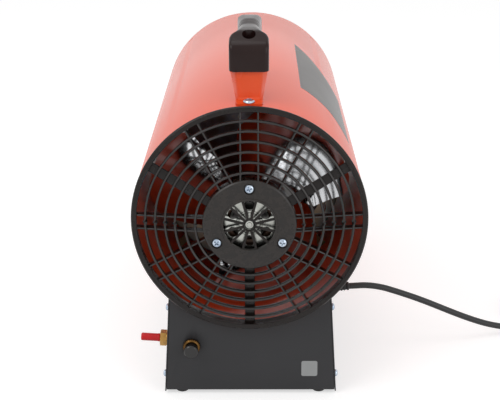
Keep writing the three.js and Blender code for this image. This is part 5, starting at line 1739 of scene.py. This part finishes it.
# Burner
@dataclass
class Burner:
    """The inner tube, the burner and what feeds it."""

    tube_radius: float = 92.0
    tube_start: float = 128.0
    tube_end: float = 462.0
    cup_radius: float = 44.0
    cup_start: float = 150.0
    cup_end: float = 196.0
    wall: float = 1.2
    tabs: tuple[Pair, ...] = ((456.0, 107.2), (134.0, 107.6))  # where each ring of tabs is, and its reach
    slots: int = 6
    slot_width: float = 8.0
    holes: int = 16
    hole_circle: float = 27.0

    def tube(self) -> None:
        """The combustion tube with its slots and tabs."""
        radius, start, end = self.tube_radius, self.tube_start, self.tube_end
        inner = radius - self.wall
        profile = [(radius, start), (radius, end - 5), (radius, end), (inner, end), (inner, start)]
        body = turned(rounded(profile, [0.4, 0, 0.5, 0.5, 0.4], 3), 144)
        mesh = carved(body, self.air_slots(152, 178, radius, inner), "tube")
        dressed("inner_tube", mesh, SHADED_TUBE_STEEL, stands_for=("combustion_tube",), sharp=40)
        tabs = []
        for level, reach in self.tabs:
            tab = block((-3.5, level, inner + 0.4), (3.5, level + 1.6, reach), 0.3)
            tabs += [tab.placed(spin(-turn)) for turn in TAB_TURNS]
        dressed("tube_tabs", together(*tabs), SHADED_TUBE_STEEL)

    def air_slots(self, low: float, high: float, radius: float, inner: float) -> Shape:
        """The cutters of a ring of air slots through a wall from inner to radius."""
        turns = (2 * math.pi * i / self.slots for i in range(self.slots))
        return together(*(slot(self.slot_width, low, high, inner - 2, radius + 2, turn) for turn in turns))

    def cup(self) -> None:
        """The burner cup with its slots and a ring of small holes in its closed end."""
        radius, start, end = self.cup_radius, self.cup_start, self.cup_end
        inner, floor = radius - self.wall, start + self.wall
        profile = [(5.3, start), (radius, start), (radius, end), (inner, end), (inner, floor), (5.3, floor)]
        body = turned(rounded(profile, [0.3, 2, 0.5, 0.5, 1, 0.3], 4), 96)
        circle = around(self.hole_circle, self.holes, 0.5)
        holes = [round_bar(2.2, start - 2, start + 4, x, z, 20) for x, z in circle]
        mesh = carved(body, together(self.air_slots(161, 185, radius, inner), *holes), "cup")
        dressed("burner", mesh, CUP, stands_for=("burner_cup",))

    def supply(self) -> None:
        """The bracket, the nozzle, the pipe, the electrode, its lead and the thermocouple."""
        dressed("burner_bracket", from_frame("burner_strap"), CUP, stands_for=("burner_strap",), edge=0.25)
        start, shoulder, tip = 137.9, 147.9, 160.0
        hexagon = turned(rounded(oblong(0, start, 7, shoulder), [0, 0.6, 0.6, 0], 2), 6)
        jet = [
            (0, shoulder - 0.5), (5, shoulder - 0.5), (5, tip - 2.5), (2.5, tip), (1.2, tip),
            (1.2, tip - 3), (0, tip - 3),
        ]
        nozzle = together(hexagon, turned(rounded(jet, [0, 0, 0.6, 0.4, 0.1, 0.1, 0], 3), 40))
        dressed("nozzle", nozzle, BRASS, stands_for=("gas_nozzle",))
        port = PORTS_Y
        pipe = [
            (VALVE_X, 59.8, VALVE_Z), (VALVE_X, 71.5, VALVE_Z), (-50.16, 94, VALVE_Z), (-19.95, 112, VALVE_Z),
            (-5.7, 117.7, -130.6), (0, port, -118.4), (0, port, -106.4), (0, port, -66.8), (0, port, -24),
            (0, 121, -9), (0, 130.7, -0.3), (0, 134.9, 0), (0, 137.6, 0),
        ]
        lead = [
            (55, 135.9, 0), (55, 131.5, 0), (52.8, port, -11), (33.6, port, -60.17), (14, port, -103.8),
            (14, port, -116), (15.4, 135.6, -127), (21, 201.6, -129.2), (35.56, 228, -123.98),
            (46.54, 228, -123.31), (52.82, 228, -122.92),
        ]
        probe = [
            (-55, 197.7, 0), (-55, 149.7, 0), (-55, 145, 0), (-55, 130.8, -0.4), (-53.4, port, -12.8),
            (-33.6, port, -60.17), (-14, port, -103.8), (-14, port, -112.6), (-22.4, 108.4, -125.4),
            (-50.88, 78.7, -125.4), (-63.6, 67.5, -125.4), (-63.6, 59.8, -125.4),
        ]
        for name, line, radius, finish, node in (
            ("pipe", pipe, 3.0, COPPER, "gas_pipe"), ("spark_lead", lead, 2.2, RUBBER, "ignition_lead"),
            ("flame_probe", probe, 1.6, COPPER, "thermocouple"),
        ):
            dressed(name, tube(name, spline(line, 2.0), radius, 16, finish), finish, stands_for=(node,))
        low, high = 136.2, 177.7
        rod = [(0, low), (3, low), (3, high), (1, high), (1, high + 26), (0, high + 26)]
        electrode = turned(rounded(rod, [0, 0.5, 1, 0.2, 0.8, 0], 3), 32).moved(55)
        dressed("electrode", electrode, CERAMIC, stands_for=("spark_electrode",))
        cap = [(0, 0), (8, 0), (8, 2), (6.4, 2.4), (6.4, 8), (0, 8)]
        sensor = turned(rounded(cap, [0, 0.4, 0.4, 0.4, 1, 0], 3), 48)
        place = Matrix.Translation((0, 200, -DRUM_RADIUS - GAP)) @ UPRIGHT
        dressed("heat_sensor", sensor.placed(place), GLOSS, stands_for=("overheat_thermostat",))

    def build(self) -> None:
        """Makes the burner."""
        self.tube()
        self.cup()
        self.supply()


# Handle
@dataclass
class Handle:
    """The moulded grip and its two pressed brackets."""

    middle: float = 76.5
    reach: float = 59.5
    block_halves: Pair = (18.1, 11.8)  # at the rear end and the front end
    grip_half: float = 10.4
    corner: float = 4.4
    # heights of the top and the bottom, by distance from an end's face
    top_line: tuple[Pair, ...] = (
        (0, 137.3), (0, 160.9), (20, 171.4), (29.75, 172.2), (59.5, 172.6), (59.5, 137.3),
    )
    bottom_line: tuple[Pair, ...] = (
        (0, 137.3), (23.8, 137.3), (24.2, 139.5), (25, 143), (26.2, 146.1), (28.8, 148.2), (32.8, 149.4),
        (39.67, 150.5), (60.5, 150.5),
    )
    # share of the way out from the grip's side to the block's, by the same distance
    shoulder: tuple[Pair, ...] = (
        (0, 1), (12.5, 1), (16.3, 0.87), (20.4, 0.49), (28.8, 0.25), (38.9, 0.065), (48, 0), (60.5, 0),
    )
    runs: tuple[float, ...] = (
        0, 0.15, 0.5, 1.1, 1.9, 2.9, 4.1, 5.4, 6.8, 8.4, 10, 13, 16, 18, 20, 22, 23.8, 24.2, 25, 26.2, 27.4,
        28.8, 30.6, 32.8, 35, 38, 41, 44,
    )  # where the grip has its outlines, from an end's face to the waves
    waves_at: float = 44.0
    wave_depth: float = 0.16
    wave_pitch: float = 3.4
    wave_ease: float = 4.0  # over which the waves grow
    wave_rings: Pair = (61.0, 0.42)  # where the close outlines start, and their step
    wave_count: int = 36
    screws: Pair = (32.2, 120.8)  # of the sunk screws along the drum
    feet: Pair = (9.6, 143.4)  # of the foot screws

    def section(self, along: float, top: Sequence[Pair]) -> list[tuple[float, float, float]]:
        """The grip's outline at a place along it.

        Args:
            along: the place, along the drum.
            top: the height of its top by distance from the end's face.

        Returns:
            The outline's points.
        """
        run = self.reach - abs(along - self.middle)
        block_half = self.block_halves[0] if along < self.middle else self.block_halves[1]
        ease = 1 - along_line(rounded(self.shoulder, [0, 12, 9, 9, 20, 20, 20, 0], 6), run)
        half = block_half + ease * (self.grip_half - block_half)
        if run < self.corner:
            half += math.sqrt(max(0.0, self.corner**2 - (self.corner - run) ** 2)) - self.corner
        high, low = along_line(top, run), along_line(self.bottom_line, run)
        if run > self.waves_at:
            wave = self.wave_depth * (math.cos(2 * math.pi * along / self.wave_pitch) - 1)
            high += wave * min(1.0, (run - self.waves_at) / self.wave_ease)
        upper, lower = 3.2 + 5.0 * ease, 1.0 + 5.0 * ease
        points = rounded(oblong(-half, low, half, high), [lower, lower, upper, upper], 7)
        return [(x, along, z) for x, z in points]

    def grip(self) -> None:
        """The lofted grip with a screw recess in each end."""
        profile = rounded(self.top_line, [0, 12, 12, 30, 0, 0], 10)
        top = [pair for pair in profile if pair[1] > 150][:-1] + [(60.5, 172.6)]
        places = [self.middle - self.reach + run for run in self.runs]
        places += [self.wave_rings[0] + self.wave_rings[1] * i for i in range(self.wave_count)]
        places = sorted({round(p, 3) for p in places if p < self.middle} | {self.middle})
        places += [2 * self.middle - p for p in reversed(places[:-1])]
        body = lofted([self.section(along, top) for along in places])
        holes = [upright_bar(6.2, 150, 176, 0, y, 48) for y in self.screws]
        mesh = carved(body, together(*holes), "grip")
        dressed("grip", mesh, GRIP, stands_for=("handle_grip",), sharp=38)

    def bracket(self, foot_half: float, top_half: float, foot_slant: float, top_slant: float) -> Shape:
        """A bracket: a leg with turned-back sides, a foot and a top flange.

        Args:
            foot_half: half width of the leg at its foot.
            top_half: half width of the leg at its top.
            foot_slant: how far each side leans out over its depth, at the foot.
            top_slant: the same at the top.

        Returns:
            The bracket, as it stands under the grip's rear end.
        """
        foot, top, face = 109.7, 137.0, 19.6
        rings = []
        for i in range(13):
            share = i / 12
            half = foot_half + (top_half - foot_half) * share
            slant = foot_slant + (top_slant - foot_slant) * share
            line = [(-half, face + 8), (slant - half, face), (half - slant, face), (half, face + 8)]
            rings.append([(x, y, foot + (top - foot) * share) for x, y in ribbon(line, 1.5, 2.4)])
        leg = lofted(rings)
        corners = oblong(-foot_half, 6.6, foot_half, face + 1.5)
        sole = plate(Plane.XY, rounded(corners, [3.6, 3.6, 0, 0], 6), foot, foot + 1.5)
        bend = [(face + 0.1, foot + 1.4)] + [
            (face - 2.6 + 2.6 * math.sin(t), foot + 4.1 - 2.6 * math.cos(t))
            for t in (math.pi / 2 * i / 6 for i in range(7))
        ] + [(face + 0.1, foot + 4.1)]
        inner = foot_half - foot_slant
        corner = plate(Plane.YZ, bend, -inner, inner)
        wide = top_half - top_slant
        flange = block((-wide, face + 0.4, top - 1.5), (wide, 40.7, top), 1.0, Plane.XY)
        return together(leg, sole, corner, flange)

    def build(self) -> None:
        """Makes the grip, the brackets and their screws."""
        self.grip()
        rear, front = self.bracket(12.3, 17.3, 2.3, 5.2), self.bracket(11, 11, 2.3, 2.3)
        flip = Matrix.Translation((0, 2 * self.middle, 0)) @ Matrix.Rotation(math.pi, 4, "Z")
        for name, shape in (("rear", rear), ("front", front.placed(flip))):
            node = f"handle_bracket_{name}"
            dressed(f"bracket_{name}", shape, BRACKET, stands_for=(node,), sharp=40, edge=0.22)
        for name, screw, level, places, prefix in (
            ("foot_screws", Fastener(5.2, 2.8, 2.4, 6), 111.5, self.feet, "bracket_screw"),
            ("sunk_screws", Fastener(4.2, 3, 2.2, 16), 150.3, self.screws, "grip_screw"),
        ):
            spots = [Matrix.Translation((0, y, level)) @ UPRIGHT @ spin(25 + y) for y in places]
            nodes = [f"{prefix}_{where}" for where in ("rear", "front")]
            repeated(name, screw.mesh(name), spots, ZINC, stands_for=nodes)


# Base
@dataclass
class Base:
    """The sheet-steel base: tray, side plates, feet, screws and a blank label."""

    label_x: Pair = (50.0, 65.6)
    label_z: Pair = (-166.2, -149.8)
    screw_in: float = 7.5  # of the side screws from the tray's ends
    screw_heights: Pair = (14.5, 86.2)
    foot_in: float = 9.0
    foot_x: float = 67.5

    def sheets(self) -> None:
        """The tray and both side plates, with their cut edges broken."""
        for node in ("base_tray", "base_side_left", "base_side_right"):
            dressed(node.replace("base_", "panel_"), from_frame(node), DARK, stands_for=(node,), edge=0.28)

    def label(self) -> None:
        """The blank pale label on the rear panel."""
        (left, right), (low, high) = self.label_x, self.label_z
        corners = rounded(oblong(left, low, right, high), 1.8, 5)
        dressed("blank_label", plate(Plane.XZ, corners, TRAY_START - 0.12, TRAY_START), LABEL)

    def small_parts(self) -> None:
        """The eight side screws and the four rubber feet."""
        screw = Fastener(3.5, 2.4, 1.7, 6)
        ends = (TRAY_START + self.screw_in, TRAY_END - self.screw_in)
        places = [(y, height) for y in ends for height in self.screw_heights]
        outward = Matrix.Translation((ON_SIDE, 0, 0)) @ Matrix.Rotation(math.pi / 2, 4, "Z")
        spots, names = [], []
        for where, side in (("left", -1), ("right", 1)):
            for i, (y, height) in enumerate(places):
                spots.append(side_place(side, y, height) @ (outward @ spin(37 * i + 11)))
                names.append(f"side_screw_{where}_{i + 1}")
        repeated("side_screws", screw.mesh("side_screw"), spots, ZINC, stands_for=names)
        floor, seat, inside = -AXIS_HEIGHT, -TRAY_DROP - GAP, -TRAY_DROP + 1.5
        profile = [
            (0, floor), (4.6, floor), (5.2, floor), (6.0, floor + 0.5), (6.6, seat - 0.6), (6.6, seat),
            (2.6, seat), (2.6, inside), (4.4, inside), (3.8, inside + 2), (0, inside + 2),
        ]
        foot = turned(rounded(profile, [0, 0, 0.2, 0.5, 0.3, 0.3, 0, 0, 0.4, 0.4, 0], 3), 40)
        foot = foot.placed(Matrix.Rotation(math.pi / 2, 4, "X"))
        spots = [
            Matrix.Translation((x, y, 0))
            for y in (TRAY_START + self.foot_in, TRAY_END - self.foot_in) for x in (-self.foot_x, self.foot_x)
        ]
        names = [f"rubber_foot_{i}" for i in range(1, 5)]
        repeated("rubber_feet", foot, spots, RUBBER, stands_for=names)

    def build(self) -> None:
        """Makes the base."""
        self.sheets()
        self.label()
        self.small_parts()


# Gas side
@dataclass
class GasTrain:
    """The gas valve, its push button, and the inlet with its cap."""

    x: float = VALVE_X
    z: float = VALVE_Z
    half: float = 13.0  # half width of the valve's body
    flutes: int = 24
    inlet_y: float = 31.5
    inlet_height: float = 47.0
    threads: int = 8

    def fluted(self, body: Shape, groove: Shape, name: str) -> Mesh:
        """A round piece in the valve's line, with a groove's cutter repeated round its edge."""
        grooves = together(*(groove.placed(spin(360 / self.flutes * i)) for i in range(self.flutes)))
        return carved(body.moved(self.x, 0, self.z), grooves.moved(self.x, 0, self.z), name)

    def valve(self) -> None:
        """The valve's body and neck, behind the panel, and the brass collar in front of it."""
        half = self.half
        body = block((self.x - half, 13.5, self.z - half), (self.x + half, 59.5, self.z + half), 2.5)
        mesh = carved(body, round_bar(5.5, 10, 24, self.x, self.z), "valve_body")
        dressed("valve_body", mesh, BRASS, stands_for=("gas_valve",), edge=0.3)
        neck = turned(rounded(oblong(5.5, 12, 7, 14.5), 0.2, 2), 48).moved(self.x, 0, self.z)
        dressed("valve_neck", neck, BRASS)
        collar = [(5.5, 7.9), (6.6, 7.9), (8.3, 9.2), (8.3, 11.7), (5.5, 11.7)]
        nut = turned(rounded(collar, [0.2, 0.4, 0.5, 0.2, 0], 3), 64)
        mesh = self.fluted(nut, block((-0.35, 7, 7.6), (0.35, 13, 9.4)), "collar")
        dressed("collar", mesh, DARKER_BRASS, stands_for=("valve_collar",))

    def button(self) -> None:
        """The round push button with its domed face and fluted edge."""
        face = -2.3
        profile = [
            (0, face + 0.15), (3.2, face), (5.8, face), (6.9, face + 1.2), (6.9, face + 5.3),
            (5.2, face + 5.3), (5.2, 18), (0, 18),
        ]
        body = turned(rounded(profile, [0, 1.5, 0.5, 0.7, 0.4, 0.2, 0.5, 0], 4), 72)
        flute = [(x, 7.12 + z) for x, z in around(0.42, 10)]
        mesh = self.fluted(body, plate(Plane.XZ, flute, face + 0.9, face + 6), "push_button")
        dressed("push_button", mesh, GLOSS, Body.BUTTON, ("valve_button",))

    def inlet(self) -> None:
        """The brass inlet on the left side plate, and the red cap on it."""
        place = on_plate(-1, self.inlet_y, self.inlet_height)
        start = ON_SIDE
        washer = turned(rounded(oblong(0, start, 7.4, start + 1.5), [0, 0.3, 0.4, 0], 2), 48)
        crown = [(0, start + 1.2), (8, start + 1.2), (8, start + 7.1), (7.2, start + 7.5), (0, start + 7.5)]
        thread = [(0, -8.6), (4.4, -8.6)]
        for i in range(self.threads):
            thread += [(5, -8.3 + i), (4.5, -7.8 + i)]
        thread += [(5, 0), (5, start + 0.3), (0, start + 0.3)]
        spigot = [
            (0, start + 7.2), (2.8, start + 7.2), (2.8, start + 20.6), (2.2, start + 21.5), (0, start + 21.5),
        ]
        pipe = turned(rounded(spigot, [0, 0, 0.3, 0.2, 0], 2), 32)
        whole = together(washer, turned(crown, 6), turned(thread, 40), pipe)
        dressed("inlet", whole.placed(place), BRASS, stands_for=("gas_inlet",), edge=0.12)
        low, high = start + 7.8, start + 26.3
        sleeve = [
            (3.1, low), (4.1, low), (4.1, low + 1.4), (3.85, low + 1.8), (3.85, high - 1.2), (3.4, high),
            (2.2, high), (2.0, high - 0.3), (0, high - 0.3), (0, low + 15), (3.1, low + 15),
        ]
        radii = [0.2, 0.3, 0.2, 0.2, 0.6, 0.5, 0.1, 0.1, 0, 0, 0.4]
        cap = turned(rounded(sleeve, radii, 3), 48).placed(place)
        dressed("red_cap", cap, RED, Body.CAP, ("inlet_cap",))

    def build(self) -> None:
        """Makes the gas side."""
        self.valve()
        self.button()
        self.inlet()


# Controls
@dataclass
class SideControls:
    """The igniter and the power switch on the right side plate."""

    height: float = 60.0
    igniter_y: float = 228.0
    switch_y: float = 192.0
    rest_tilt: float = 8.0  # degrees by which the rocker leans at rest

    def igniter(self) -> None:
        """The igniter's barrel and collar, and its red button."""
        place, face = on_plate(1, self.igniter_y, self.height), ON_SIDE + 2
        barrel = [
            (0, -26), (7.5, -26), (7.5, ON_SIDE), (9, ON_SIDE), (9, face - 0.4), (8.2, face), (5.6, face),
            (5.6, ON_SIDE - 14), (0, ON_SIDE - 14),
        ]
        body = turned(rounded(barrel, [0, 0.6, 0.2, 0.3, 0.3, 0.3, 0.3, 0.4, 0], 3), 64).placed(place)
        dressed("igniter_barrel", body, GLOSS, stands_for=("igniter_body",))
        root, top = ON_SIDE - 6, ON_SIDE + 9
        press = [(0, root), (5.3, root), (5.3, top - 1.8), (4.2, top - 0.2), (2.6, top), (0, top - 0.5)]
        knob = turned(rounded(press, [0, 0.4, 1, 1, 0.6, 0], 4), 64).placed(place)
        dressed("igniter_press", knob, RED, Body.IGNITER, ("igniter_button",))

    def switch(self) -> None:
        """The switch's housing, and its rocker with I and O."""
        place, face = side_place(1, self.switch_y, self.height), ON_SIDE + 2
        bezel = block((ON_SIDE, -7.5, -10.5), (face, 7.5, 10.5), 1.6, Plane.YZ)
        housing = block((-14, -6.3, -9.3), (ON_SIDE + 0.3, 6.3, 9.3), 0.8, Plane.YZ)
        hole = block((face - 9, -5, -8), (face + 2, 5, 8), 0.5, Plane.YZ)
        front = carved(bezel.placed(place), hole.placed(place), "switch_bezel")
        rear = carved(housing.placed(place), hole.placed(place), "switch_box")
        dressed("switch_bezel", front, GLOSS, stands_for=("switch_housing",), edge=0.3)
        dressed("switch_box", rear, GLOSS)
        pivot = place @ Matrix.Translation((face - 3, 0, 0)) @ spin(-self.rest_tilt)
        outline = [(-2.2, -4), (2.4, -7.3), (3.8, -7.3), (2.8, 0), (3.8, 7.3), (2.4, 7.3), (-2.2, 4)]
        outline = rounded(outline, [0.8, 0.4, 0.4, 6, 0.4, 0.4, 0.8], 5)
        rocker = plate(Plane.XZ, outline, -4.7, 4.7).placed(pivot)
        dressed("rocker", rocker, GLOSS, Body.ROCKER, ("switch_rocker",), edge=0.25)
        lean = math.atan2(1, 7.3)
        stroke = block((-0.1, -0.25, -1.3), (0.08, 0.25, 1.3))
        ring = turned(oblong(1.0, -0.08, 1.4, 0.1), 32).placed(Matrix.Rotation(math.pi / 2, 4, "Z"))
        marks = []
        for mark, way in ((stroke, 1), (ring, -1)):
            spot = pivot @ Matrix.Translation((3.3, 0, way * 3.65)) @ Matrix.Rotation(way * lean, 4, "Y")
            marks.append(mark.placed(spot))
        dressed("rocker_marks", together(*marks), LABEL, Body.ROCKER)

    def build(self) -> None:
        """Makes the controls."""
        self.igniter()
        self.switch()


def main() -> None:
    """Builds the heater piece by piece."""
    logging.basicConfig(level=logging.INFO, format="%(name)s: %(message)s")
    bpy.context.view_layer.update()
    for part in (
        Stage(), PowerLead(), FanGuard(), Motor(), Fan(), DrumShell(), Burner(), Handle(), Base(),
        GasTrain(), SideControls(),
    ):
        part.build()
        log.info("%s done", type(part).__name__)


if __name__ == "__main__":
    main()
